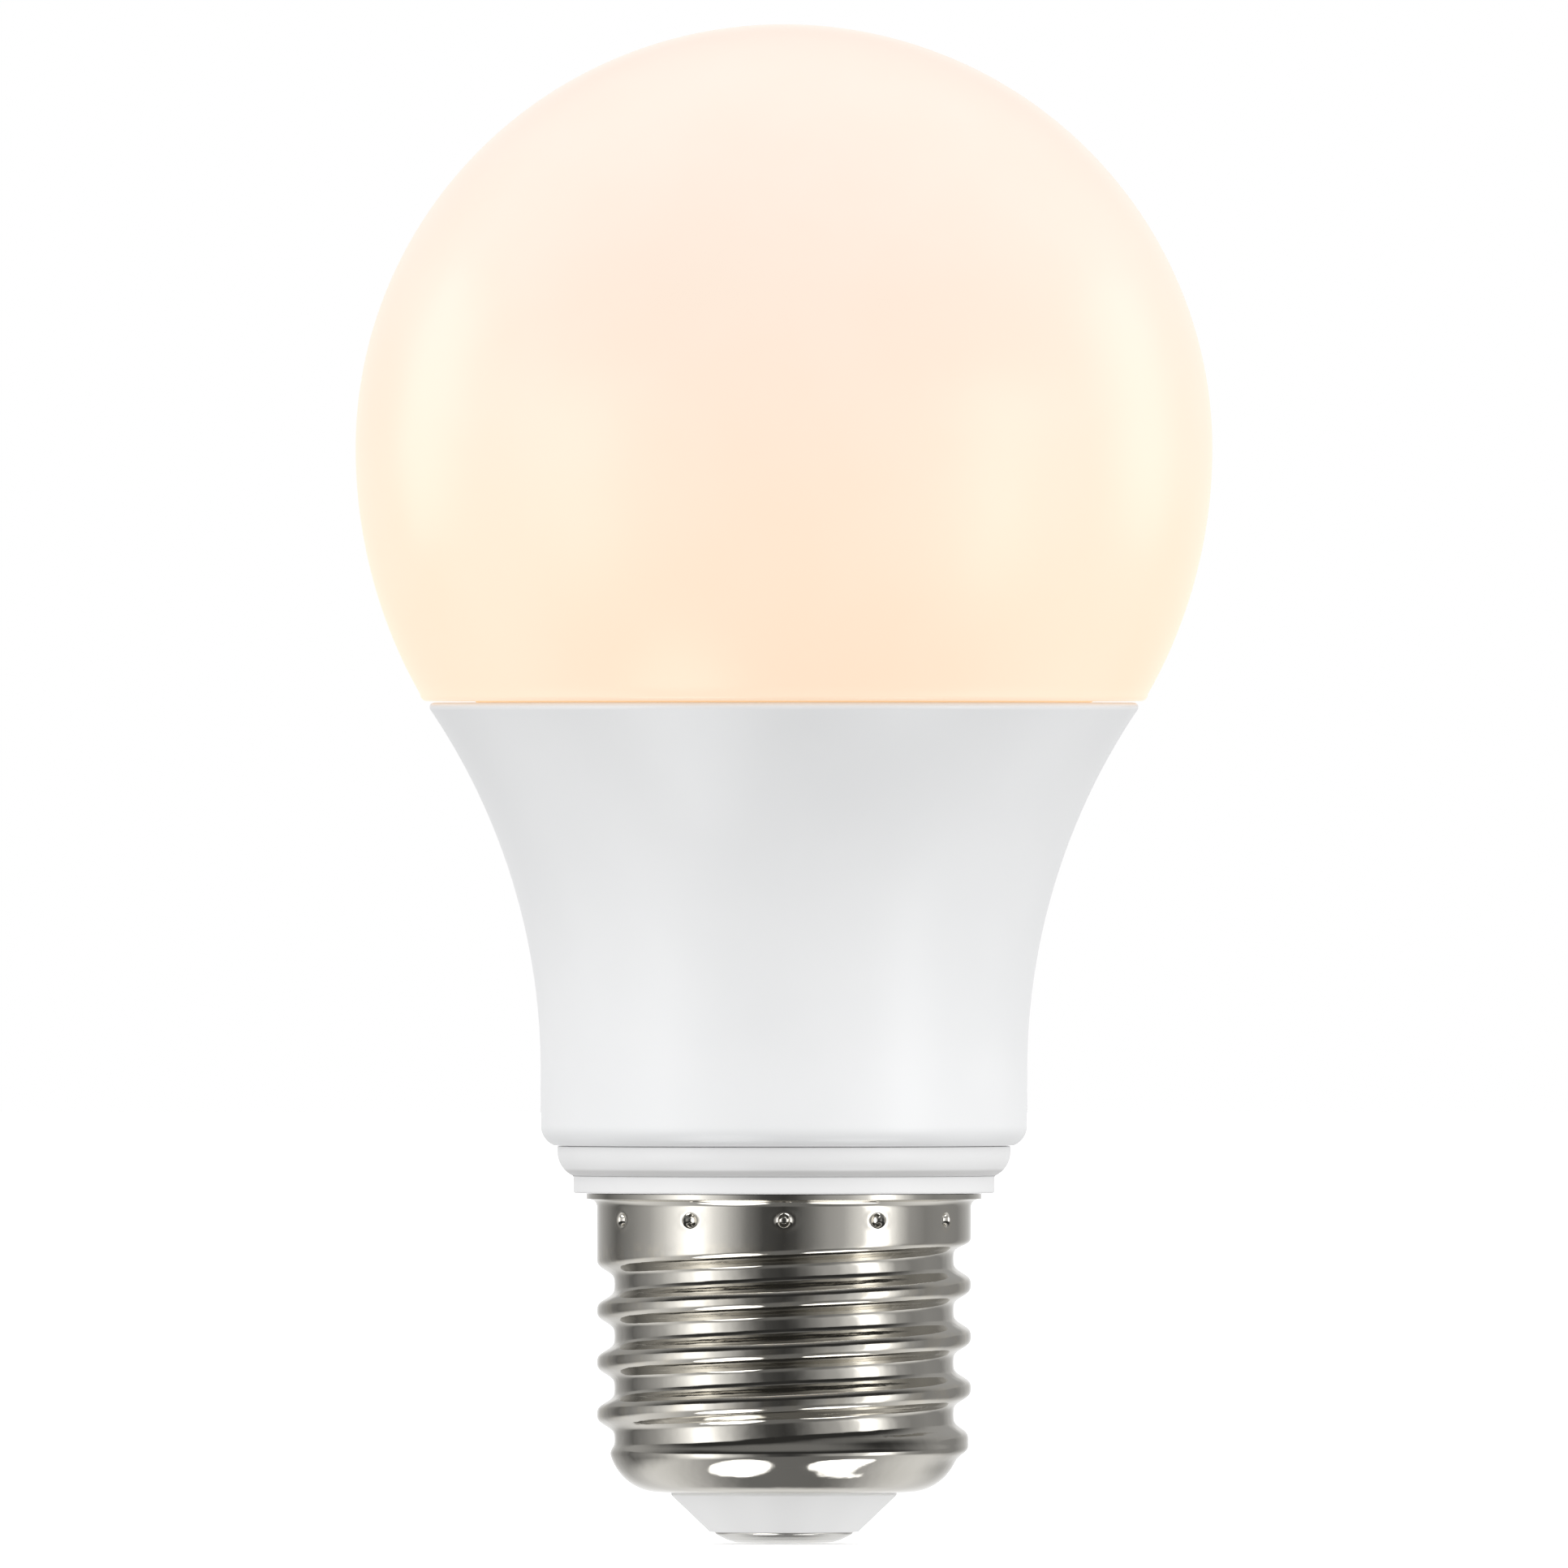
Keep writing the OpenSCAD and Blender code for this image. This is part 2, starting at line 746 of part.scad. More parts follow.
// Domes of solder where legs come through: each place is [x, z], on the side away from the part
chip_side_joints = [[-1.25, 12.2], [1.25, 12.2], [-1.75, 26.8], [0.75, 26.8], [-7.2, 30],
                    [-7.2, 35.8], [6.4, 30.4], [6.4, 37.2], [-3, 36.1], [3, 36.1]];
tall_side_joints = [[6.9, 24.4], [-7.4, 24.4], [6.9, 20.8], [-7.4, 20.8]];

module solder_dome(x, z, side) {
    translate([x, side * board_face, z]) rotate([-side * 90, 0, 0])
        cylinder(r1 = 0.7, r2 = 0.35, h = 0.5);
}

module solder_joints() {
    color("silver") union() {
        for (p = chip_side_joints) solder_dome(p.x, p.y, 1);
        for (p = tall_side_joints) solder_dome(p.x, p.y, -1);
    }
}

// ---- Wires ----

module live_wire() {
    color("firebrick") tube(smooth_line(live_route), live_wire_r);
}

module neutral_wire() {
    color("silver") tube(smooth_line(neutral_route), neutral_wire_r);
}

// ---- Screw cap ----

// From 0 to 1 as x goes from 0 to 1, with level ends
function ease(x) = let (c = min(max(x, 0), 1)) c * c * (3 - 2 * c);

// Share of the thread's depth at an angle and a height: 1 on a crest, 0 at a root.
// The ridge grows out of the plain foot, and the groove dies out under the skirt.
// The first part of the ridge runs down into the dome with no groove under it.
function thread_share(angle, z) =
    let (
        turns = (z - crest_z) / pitch - angle / 360,
        ridge = round(turns),
        groove = round(turns - 0.5) + 0.5,
        ridge_turn = ridge + angle / 360,
        groove_turn = groove + angle / 360,
        level = 0.5 + 0.5 * cos(360 * turns),
        wave = (1 - root_round) * pow(ease(level), flank) + root_round * level,
        below = ridge - turns,
        filled = below > 0 ? ease((fill_end - ridge_turn) / fill_fade) : 0,
        low_wave = wave + (ease(1 - 2 * below) - wave) * filled
    )
    z < thread_middle
    ? low_wave * ease((ridge_turn - ridge_start) / ridge_fade)
    : 1 - (1 - wave) * ease((groove_end - groove_turn) / groove_fade);

// Radius of the shell's foot below the thread, which runs over into the thread's root
function foot_r(z) =
    let (
        dome = dome_centre_r + sqrt(max(dome_r * dome_r - pow(dome_z - min(z, dome_z), 2), 0)),
        share = ease((z - dome_edge_z) / dome_blend)
    )
    dome + (root_r - dome) * share;

function shell_r(angle, z) = foot_r(z) + thread_depth * thread_share(angle, z);

// One hoop of points: the outer face, or the inner face one wall inside it
function shell_hoop(z, r_offset, z_offset) = [
    for (k = [0 : thread_sides - 1])
        let (angle = 360 * k / thread_sides, r = shell_r(angle, z) - r_offset)
        [r * cos(angle), r * sin(angle), z + z_offset]
];

// Plain round hoop
function round_hoop(r, z) = [
    for (k = [0 : thread_sides - 1])
        let (angle = 360 * k / thread_sides) [r * cos(angle), r * sin(angle), z]
];

// Threaded part of the shell, as one sheet from the foot's hole to the skirt
module threaded_sheet() {
    dome_top = acos((dome_z - dome_edge_z) / dome_r);
    rows = ceil((thread_top - dome_edge_z) * rows_per_turn / pitch);
    dome_angles = [for (i = [1 : dome_steps - 1]) dome_top * i / dome_steps];
    dome_heights = [for (a = dome_angles) dome_z - dome_r * cos(a)];
    heights = [for (i = [0 : rows - 1]) dome_edge_z + (thread_top - dome_edge_z) * i / rows];
    hoops = concat(
        [round_hoop(shell_hole_r, shell_foot_z), round_hoop(dome_centre_r, shell_foot_z)],
        [for (z = dome_heights) shell_hoop(z, 0, 0)],
        [for (z = heights) shell_hoop(z, 0, 0)],
        [round_hoop(crest_r - sheet_inset, thread_top)],
        [round_hoop(crest_r - shell_wall + 3 * sheet_inset, thread_top)],
        [for (z = reversed(heights)) shell_hoop(z, shell_wall, 0)],
        [for (i = [dome_steps - 2 : -1 : 0])
            shell_hoop(dome_heights[i], shell_wall * sin(dome_angles[i]),
                       shell_wall * cos(dome_angles[i]))],
        [round_hoop(dome_centre_r, shell_foot_z + shell_wall),
         round_hoop(shell_hole_r, shell_foot_z + shell_wall)]
    );
    count = len(hoops);
    faces = [
        for (i = [0 : count - 1], k = [0 : thread_sides - 1])
            let (
                a = i * thread_sides + k,
                b = i * thread_sides + (k + 1) % thread_sides,
                c = ((i + 1) % count) * thread_sides + k,
                d = ((i + 1) % count) * thread_sides + (k + 1) % thread_sides
            )
            each [[a, d, b], [a, c, d]]
    ];
    polyhedron([for (h = hoops) each h], faces);
}

// Plain skirt with its turned-out lip. Its circle starts between two punch marks.
module skirt_sheet() {
    centre = [crest_r + lip_bend, lip_z - lip_bend];
    inner_bend = lip_bend + shell_wall;
    top = lip_z - shell_wall;
    rotate(skirt_turn) turned(concat(
        [[crest_r, thread_top]],
        arc(centre - [0, shell_wall], lip_bend, 180, 90, 6),
        [[lip_r, top], [lip_r, lip_z]],
        arc(centre - [0, shell_wall], inner_bend, 90, 180, 6),
        [[crest_r - shell_wall, thread_top]]
    ));
}

module screw_shell() {
    color("silver") difference() {
        union() {
            threaded_sheet();
            skirt_sheet();
            around(punch_count, 0) translate([crest_r - shell_wall - punch_depth, 0, punch_z])
                rotate([0, 90, 0]) cylinder(r = punch_r + 0.25, h = punch_depth + shell_wall / 2);
        }
        around(punch_count, 0) translate([crest_r - punch_depth, 0, punch_z])
            rotate([0, 90, 0]) cylinder(r1 = punch_r * 0.6, r2 = punch_r * 1.3, h = punch_depth * 1.2);
    }
}

module base_insulator() {
    seat_z = shell_foot_z + shell_wall + slip;
    outer_r = shell_hole_r - slip;
    bore_r = contact_pin_r + hole_slip;
    color("white") turned([
        [bore_r, contact_t], [insulator_foot_r, contact_t], [outer_r, insulator_edge_z],
        [outer_r, seat_z], [insulator_flange_r, seat_z],
        [insulator_flange_r, seat_z + insulator_flange_t],
        [insulator_boss_r + 1.5, seat_z + insulator_flange_t],
        [insulator_boss_r, insulator_boss_z], [bore_r, insulator_boss_z]
    ]);
}

// Pressed pin with a flat-bottomed head
module centre_contact() {
    color("silver") turned([
        [0, 0], [contact_flat_r, 0], [contact_flat_r + 0.6, 0.18], [contact_r - 0.4, 0.4],
        [contact_r - 0.1, 0.57], [contact_r, contact_t], [contact_pin_r, contact_t],
        [contact_pin_r, contact_pin_top], [0, contact_pin_top]
    ]);
}

globe();
globe_seal();
housing();
heat_sink();
thermal_pad();
led_board();
led_board_screws();
warm_leds();
warm_phosphors();
cool_leds();
cool_phosphors();
led_board_socket();
header_pins();
header_body();
wireless_board();
wireless_shield();
wireless_chip();
wireless_crystal();
wireless_antenna();
wireless_pins();
driver_cup();
driver_board();
bulk_capacitor();
output_capacitor();
film_capacitor();
varistor();
fuse_resistor();
bridge_rectifier();
choke_core();
choke_winding();
transformer_core();
transformer_bobbin();
transformer_winding();
converter_chip();
dimmer_chip();
freewheel_diode();
chip_resistors();
chip_capacitors();
solder_joints();
live_wire();
neutral_wire();
screw_shell();
base_insulator();
centre_contact();
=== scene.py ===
import math

import bmesh
import bpy
from mathutils import Matrix, Vector


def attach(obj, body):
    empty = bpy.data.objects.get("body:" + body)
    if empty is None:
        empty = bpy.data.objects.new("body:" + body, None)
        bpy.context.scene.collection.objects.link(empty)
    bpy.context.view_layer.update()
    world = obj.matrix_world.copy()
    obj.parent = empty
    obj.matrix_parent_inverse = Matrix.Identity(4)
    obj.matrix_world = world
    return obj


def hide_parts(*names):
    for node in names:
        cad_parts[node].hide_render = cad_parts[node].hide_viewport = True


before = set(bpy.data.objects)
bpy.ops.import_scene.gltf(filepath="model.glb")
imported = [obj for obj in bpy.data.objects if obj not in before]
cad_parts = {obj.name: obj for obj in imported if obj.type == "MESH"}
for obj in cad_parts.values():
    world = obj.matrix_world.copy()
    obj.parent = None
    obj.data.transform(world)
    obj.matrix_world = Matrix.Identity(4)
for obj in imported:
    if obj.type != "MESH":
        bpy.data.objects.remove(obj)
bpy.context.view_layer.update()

# A smart light bulb: an opal globe on a flared white housing, a white cup with a ring and a
# collar, a nickel-plated screw cap, and the LED board, wireless module and driver inside.
# Every size below is in millimetres unless it says otherwise.
MM = 0.001
TURNS = 192

# Globe
GLOBE_R, GLOBE_MID_Z, GLOBE_CROWN, GLOBE_DROP, GLOBE_WALL = 30.0, 76.6, 29.7, 32.6, 1.2
GLOBE_SKIRT_R, GLOBE_SKIRT_WALL, GLOBE_SKIRT_Z, GLOBE_EDGE = 21.5, 1.1, 55.6, 0.5
SEAM_GAP = 0.1
# Housing
RIM_Z, HOUSING_Z, HOUSING_ROUND, HOUSING_WALL = 58.8, 27.78, 1.5, 1.2
WAIST_R, FLARE_Z, FLARE_BEND = 17.04, 33.1, 45.0
# Screw cap
CREST_R, ROOT_R, PITCH, CREST_Z = 13.1, 11.88, 3.6286, 7.16
SHELL_WALL, LIP_Z, LIP_R, LIP_BEND = 0.35, 24.4, 13.85, 0.6
THREAD_TOP, THREAD_TOP_BLEND, THREAD_MIDDLE, FLANK, ROOT_ROUND = 21.4, 0.9, 13.0, 1.4, 0.12
GROOVE_END, GROOVE_FADE, RIDGE_START, RIDGE_FADE = 3.88, 0.3, -0.45, 0.6
FILL_END, FILL_FADE = 0.02, 0.22
DOME_R, DOME_Z, DOME_CENTRE_R, DOME_EDGE_Z, DOME_BLEND = 3.6, 7.1, 8.7, 6.1, 0.9
SHELL_HOLE_R = 7.95
PUNCH_COUNT, PUNCH_Z, PUNCH_DEPTH, PUNCH_R, HEAP_SHARE = 12, 22.62, 0.36, 0.56, 0.04
CAP_SHARP = 60
# Driver cup
SLEEVE_R, SLEEVE_TOP, CUP_WALL, RING_R, COLLAR_R = 14.7, 50.0, 1.1, 15.88, 14.75
NECK_R, NECK_Z, NECK_LAND_R, NECK_LAND_Z, COLLAR_Z = 11.4, 9.0, 12.68, 21.7, 25.65
RING_Z, RING_BEND = 27.35, 1.85


# ---- Outlines ----

def arc(centre, r, first, last, steps=8):
    """Points of an arc, with its angles in degrees."""
    angles = [math.radians(first + (last - first) * i / steps) for i in range(steps + 1)]
    return [(centre[0] + r * math.cos(a), centre[1] + r * math.sin(a)) for a in angles]


def rounded(corners, closed=False, steps=4, support=0.15):
    """An outline whose corners (r, z, fillet) are rounded. A point close beside each fillet
    keeps the faces next to it flat."""
    points = []
    count = len(corners)
    for i, (r, z, fillet) in enumerate(corners):
        corner = Vector((r, z))
        if fillet == 0 or (not closed and i in (0, count - 1)):
            points.append((r, z))
            continue
        before = Vector(corners[i - 1][:2]) - corner
        after = Vector(corners[(i + 1) % count][:2]) - corner
        half = before.angle(after) / 2
        reach = fillet / math.tan(half)
        first = corner + before.normalized() * reach
        last = corner + after.normalized() * reach
        if before.length > reach + 2 * support:
            points.append(tuple(corner + before.normalized() * (reach + support)))
        for k in range(steps + 1):
            t = k / steps
            weight = 2 * t * (1 - t) * math.sin(half)
            total = (1 - t) ** 2 + weight + t * t
            points.append(tuple(((1 - t) ** 2 * first + weight * corner + t * t * last) / total))
        if after.length > reach + 2 * support:
            points.append(tuple(corner + after.normalized() * (reach + support)))
    return points


def globe_point(angle, inset):
    """Point of the globe's meridian at an angle in radians above its widest circle."""
    tall = (GLOBE_DROP if angle < 0 else GLOBE_CROWN) - inset
    return (GLOBE_R - inset) * math.cos(angle), GLOBE_MID_Z + tall * math.sin(angle)


def globe_line(z, inset, steps=96):
    """Meridian from the crown down to height z."""
    last = math.asin((z - GLOBE_MID_Z) / (GLOBE_DROP - inset))
    up = math.pi / 2
    points = [globe_point(up + (last - up) * i / steps, inset) for i in range(1, steps + 1)]
    return [(0, GLOBE_MID_Z + GLOBE_CROWN - inset)] + points


def flare_r(z, inset=0.0):
    """Radius of the surface that lies inset inside the housing's outer face."""
    if z < FLARE_Z:
        return WAIST_R - inset
    return WAIST_R + FLARE_BEND - math.sqrt((FLARE_BEND + inset) ** 2 - (z - FLARE_Z) ** 2)


def flare_line(a, b, inset, steps=40):
    heights = [a + (b - a) * i / steps for i in range(steps + 1)]
    return [(flare_r(z, inset), z) for z in heights]


def ease(x):
    x = min(max(x, 0), 1)
    return x * x * (3 - 2 * x)


def foot_r(z):
    """Radius of the cap's foot below the thread, which runs over into the thread's root."""
    dome = DOME_CENTRE_R + math.sqrt(max(DOME_R ** 2 - (DOME_Z - min(z, DOME_Z)) ** 2, 0))
    return dome + (ROOT_R - dome) * ease((z - DOME_EDGE_Z) / DOME_BLEND)


# ---- Meshes ----

def shaded(mesh, sharp):
    """The mesh, smooth except at edges sharper than an angle in degrees."""
    mesh.shade_smooth()
    mesh.set_sharp_from_angle(angle=math.radians(sharp))
    return mesh


def finish_mesh(name, bm, sharp=35):
    """The bmesh as a mesh, shaded."""
    mesh = bpy.data.meshes.new(name)
    bm.to_mesh(mesh)
    bm.free()
    return shaded(mesh, sharp)


def face_outwards(bm):
    bmesh.ops.recalc_face_normals(bm, faces=bm.faces)


def add_turned(bm, outline, turns=TURNS, closed=None, angles=None):
    """Adds a turned shape. Points on the axis become poles; an outline that doesn't start and
    end there is closed into a ring unless closed is False."""
    angles = angles or [math.tau * k / turns for k in range(turns)]
    rows = []
    for r, z in outline:
        if r < 1e-6:
            rows.append([bm.verts.new((0, 0, z * MM))])
        else:
            rows.append([bm.verts.new((r * MM * math.cos(a), r * MM * math.sin(a), z * MM))
                         for a in angles])
    pairs = list(zip(rows, rows[1:]))
    if closed is None:
        closed = not (len(rows[0]) == 1 and len(rows[-1]) == 1)
    if closed:
        pairs.append((rows[-1], rows[0]))
    count = len(angles)
    for low, high in pairs:
        for k in range(count):
            n = (k + 1) % count
            loop = [low[k % len(low)], low[n % len(low)], high[n % len(high)], high[k % len(high)]]
            corners = list(dict.fromkeys(loop))
            if len(corners) > 2:
                bm.faces.new(corners)


def turned(name, outline, turns=TURNS, sharp=35):
    bm = bmesh.new()
    add_turned(bm, outline, turns)
    face_outwards(bm)
    return finish_mesh(name, bm, sharp)


def placed(name, data):
    """A new object in the scene."""
    obj = bpy.data.objects.new(name, data)
    bpy.context.scene.collection.objects.link(obj)
    return obj


def piece(name, mesh, look, slot, *stands_for):
    """A finished piece: its mesh in place, its material, and the CAD nodes it stands for."""
    obj = placed(name, mesh)
    mesh.materials.clear()
    mesh.materials.append(look)
    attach(obj, "root")
    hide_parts(*stands_for)
    return obj


def applied(obj):
    """The object's mesh with its modifiers applied, and the object removed."""
    depsgraph = bpy.context.evaluated_depsgraph_get()
    shaped = bpy.data.meshes.new_from_object(obj.evaluated_get(depsgraph))
    bpy.data.objects.remove(obj)
    return shaped


# ---- Node trees ----

def add(tree, kind, inputs=None, **settings):
    """Adds a node. An input takes a value or another node's output."""
    node = tree.nodes.new(kind)
    for key, value in settings.items():
        setattr(node, key, value)
    for key, value in (inputs or {}).items():
        if isinstance(value, bpy.types.NodeSocket):
            tree.links.new(value, node.inputs[key])
        else:
            node.inputs[key].default_value = value
    return node


def calc(tree, operation, *values, clamp=False):
    inputs = dict(enumerate(values))
    return add(tree, "ShaderNodeMath", inputs, operation=operation, use_clamp=clamp).outputs[0]


def smooth(tree, value, low, high):
    """From 0 at low to 1 at high, with level ends."""
    return add(tree, "ShaderNodeMapRange", {"Value": value, "From Min": low, "From Max": high},
               interpolation_type="SMOOTHSTEP").outputs["Result"]


def left_of(tree, share):
    """What a share leaves of 1."""
    return calc(tree, "SUBTRACT", 1.0, share)


def product(tree, *values):
    """All the values multiplied, from the first on."""
    total = values[0]
    for value in values[1:]:
        total = calc(tree, "MULTIPLY", total, value)
    return total


def blend(tree, share, one, other):
    """A number that goes from one to other as share goes from 0 to 1."""
    return add(tree, "ShaderNodeMix", {0: share, 2: one, 3: other}, data_type="FLOAT").outputs[0]


def blend_colours(tree, share, one, other):
    return add(tree, "ShaderNodeMix", {0: share, 6: one, 7: other}, data_type="RGBA").outputs[2]


def split(tree, vector):
    """The x, y and z of a vector."""
    return add(tree, "ShaderNodeSeparateXYZ", {0: vector}).outputs


def spot_on(tree):
    """The x, y and z of a place on the piece, in metres."""
    return split(tree, add(tree, "ShaderNodeTexCoord").outputs["Object"])


def distance(tree, a, b):
    """The length of a line that is a across and b along."""
    return calc(tree, "SQRT", calc(tree, "ADD", product(tree, a, a), product(tree, b, b)))


def finish_tree(tree, shape, finish):
    """Ends a Geometry Nodes tree: copies made real, and its material set."""
    real = add(tree, "GeometryNodeRealizeInstances", {0: shape})
    painted = add(tree, "GeometryNodeSetMaterial",
                  {"Geometry": real.outputs[0], "Material": finish})
    add(tree, "NodeGroupOutput", {0: painted.outputs[0]})


def sockets(tree, way, names):
    """Makes the named sockets of a tree: (name, type, value)."""
    made = {}
    for name, kind, value in names:
        socket = tree.interface.new_socket(name=name, in_out=way, socket_type="NodeSocket" + kind)
        if value is not None:
            socket.default_value = value
        made[name] = socket.identifier
    return made


# ---- Shared shader groups ----

def shader_group(name, inputs, outputs):
    tree = bpy.data.node_groups.new(name, "ShaderNodeTree")
    sockets(tree, "INPUT", inputs)
    sockets(tree, "OUTPUT", outputs)
    start = tree.nodes.new("NodeGroupInput")
    end = tree.nodes.new("NodeGroupOutput")
    return tree, start.outputs, end.inputs


def place_noise(tree, scale, detail=2.0, rough=0.5, at=None):
    at = at or add(tree, "ShaderNodeTexCoord").outputs["Object"]
    return add(tree, "ShaderNodeTexNoise", {"Vector": at, "Scale": scale, "Detail": detail,
                                            "Roughness": rough}).outputs["Fac"]


def make_tone():
    """A colour that drifts softly between two, as in one batch of plastic or plating."""
    tree, given, made = shader_group(
        "tone drift",
        [("Colour", "Color", (0.8, 0.8, 0.8, 1)), ("Second", "Color", (0.7, 0.7, 0.7, 1)),
         ("Scale", "Float", 60.0)],
        [("Colour", "Color", None)])
    drift = smooth(tree, place_noise(tree, given["Scale"], 3.0), 0.3, 0.7)
    tree.links.new(blend_colours(tree, drift, given["Colour"], given["Second"]), made["Colour"])
    return tree


def make_grain():
    """Fine moulding or casting grain: a height for a bump."""
    tree, given, made = shader_group(
        "fine grain",
        [("Scale", "Float", 4000.0), ("Waviness", "Float", 0.2)],
        [("Height", "Float", None)])
    fine = place_noise(tree, given["Scale"], 2.0, 0.6)
    wide = place_noise(tree, product(tree, given["Scale"], 0.04), 2.0)
    height = calc(tree, "ADD", fine, product(tree, wide, given["Waviness"]))
    tree.links.new(height, made["Height"])
    return tree


def make_handling():
    """Roughness that varies as a handled surface does: broad smears and a few fine specks."""
    tree, given, made = shader_group(
        "handling marks",
        [("Roughness", "Float", 0.3), ("Spread", "Float", 0.06), ("Scale", "Float", 180.0)],
        [("Roughness", "Float", None)])
    smear = calc(tree, "SUBTRACT", place_noise(tree, given["Scale"], 4.0, 0.6), 0.5)
    specks = smooth(tree, place_noise(tree, product(tree, given["Scale"], 12.0), 1.0), 0.72, 0.82)
    rough = calc(tree, "ADD", given["Roughness"], product(tree, smear, given["Spread"]))
    rough = calc(tree, "ADD", rough, product(tree, specks, given["Spread"]), clamp=True)
    tree.links.new(rough, made["Roughness"])
    return tree


def make_rings():
    """Fine lines round the axis, as turning or rolling leaves: a height for a bump."""
    tree, given, made = shader_group(
        "turned lines",
        [("Lines per metre", "Float", 4000.0), ("Breaks", "Float", 25.0)],
        [("Height", "Float", None)])
    spot = spot_on(tree)
    turn = calc(tree, "ARCTAN2", spot[1], spot[0])
    at = add(tree, "ShaderNodeCombineXYZ", {
        0: product(tree, distance(tree, spot[0], spot[1]), given["Lines per metre"]),
        1: product(tree, spot[2], given["Lines per metre"]),
        2: product(tree, calc(tree, "SINE", turn), given["Breaks"])}).outputs[0]
    lines = place_noise(tree, 1.0, 3.0, 0.7, at)
    tree.links.new(lines, made["Height"])
    return tree


def make_wear():
    """A mask of raised edges, broken up by noise."""
    tree, given, made = shader_group(
        "edge wear",
        [("Amount", "Float", 0.5), ("Scale", "Float", 900.0)],
        [("Mask", "Float", None)])
    point = add(tree, "ShaderNodeNewGeometry").outputs["Pointiness"]
    raised = smooth(tree, point, 0.505, 0.56)
    broken = smooth(tree, place_noise(tree, given["Scale"], 4.0, 0.65), 0.35, 0.65)
    mask = calc(tree, "MULTIPLY", product(tree, raised, broken), given["Amount"], clamp=True)
    tree.links.new(mask, made["Mask"])
    return tree


TONE, GRAIN, HANDLING, RINGS, WEAR = (
    make_tone(), make_grain(), make_handling(), make_rings(), make_wear())


class Finish:
    """A material with one Principled shader, built up from the shared groups."""

    def __init__(self, name, metal=0.0, specular=0.5, coat=0.0):
        self.material = bpy.data.materials.new(name)
        self.material.use_nodes = True
        self.tree = self.material.node_tree
        self.tree.nodes.clear()
        self.shader = add(self.tree, "ShaderNodeBsdfPrincipled")
        out = add(self.tree, "ShaderNodeOutputMaterial", {"Surface": self.shader.outputs[0]})
        out.is_active_output = True
        self.shader.inputs["Metallic"].default_value = metal
        self.shader.inputs["Specular IOR Level"].default_value = specular
        self.shader.inputs["Coat Weight"].default_value = coat

    def use(self, group, inputs):
        return add(self.tree, "ShaderNodeGroup", inputs, node_tree=group).outputs

    def feed(self, key, output):
        self.tree.links.new(output, self.shader.inputs[key])

    def tone(self, colour, second, scale=60.0):
        return self.use(TONE, {"Colour": (*colour, 1), "Second": (*second, 1), "Scale": scale})[0]

    def mixed(self, share, one, other):
        return blend_colours(self.tree, share, one, other)

    def handled(self, value, spread, scale):
        """Roughness round a value, as handling leaves it."""
        return self.use(HANDLING, {"Roughness": value, "Spread": spread, "Scale": scale})[0]

    def grain(self, scale, waviness):
        """The height of fine grain, for a bump."""
        return self.use(GRAIN, {"Scale": scale, "Waviness": waviness})[0]

    def bump(self, height, depth, under=None):
        """A bump of a depth in metres, over another bump if one is given."""
        inputs = {"Height": height, "Distance": depth}
        if under is not None:
            inputs["Normal"] = under
        return add(self.tree, "ShaderNodeBump", inputs).outputs[0]


# Painted shade: a grey mixed into a finish's colour in a narrow band round a crease, and how much
# of it
PAINTED_SHADE, PAINTED_SHADE_SHARE = (0.32, 0.31, 0.30, 1), 0.42


def moulded(name, colour, second, rough, grain=0.000004, grain_scale=5000.0, spread=0.06,
            metal=0.0, specular=0.5, coat=0.0, wear=None, wear_amount=0.5, lines=None,
            crease=None):
    """A plain moulded, cast, coated or plated finish with tone drift, handling marks, grain,
    a worn colour on its edges if one is given, and painted shade darkening a band round a crease's
    height if one is given."""
    look = Finish(name, metal, specular, coat)
    body = look.tone(colour, second)
    if wear:
        mask = look.use(WEAR, {"Amount": wear_amount, "Scale": 900.0})["Mask"]
        body = look.mixed(mask, body, (*wear, 1))
    # Painted shade: the colour is darkened in a narrow band round the crease's height, where
    # shadow falls
    if crease:
        away = calc(look.tree, "ABSOLUTE",
                    calc(look.tree, "SUBTRACT", spot_on(look.tree)[2], crease * MM))
        painted_crease_shade = smooth(look.tree, product(look.tree, away, -1.0), -0.32 * MM, -0.1 * MM)
        body = look.mixed(product(look.tree, painted_crease_shade, PAINTED_SHADE_SHARE), body, PAINTED_SHADE)
    look.feed("Base Color", body)
    look.feed("Roughness", look.handled(rough, spread, 180.0))
    normal = look.bump(look.grain(grain_scale, 0.4), grain)
    if lines:
        marks = look.use(RINGS, {"Lines per metre": lines, "Breaks": 6.0})[0]
        normal = look.bump(marks, grain, under=normal)
    look.feed("Normal", normal)
    return look.material


# ---- Finishes of the outer pieces ----

def make_opal():
    """Lit opal plastic: a satin skin over a body that glows, warmest low down by the LEDs."""
    look = Finish("opal globe, lit", specular=0.5)
    rise = smooth(look.tree, spot_on(look.tree)[2], 58 * MM, 104 * MM)
    warm = look.tone((0.54, 0.342, 0.196), (0.54, 0.348, 0.203), 30.0)
    pale = look.tone((0.30, 0.200, 0.158), (0.30, 0.205, 0.164), 30.0)
    look.feed("Emission Color", look.mixed(rise, warm, pale))
    look.shader.inputs["Emission Strength"].default_value = 1.0
    look.feed("Base Color", look.tone((0.53, 0.50, 0.45), (0.54, 0.51, 0.465), 90.0))
    look.feed("Roughness", look.handled(0.30, 0.05, 120.0))
    look.feed("Normal", look.bump(look.grain(2600.0, 0.6), 0.0000015))
    return look.material


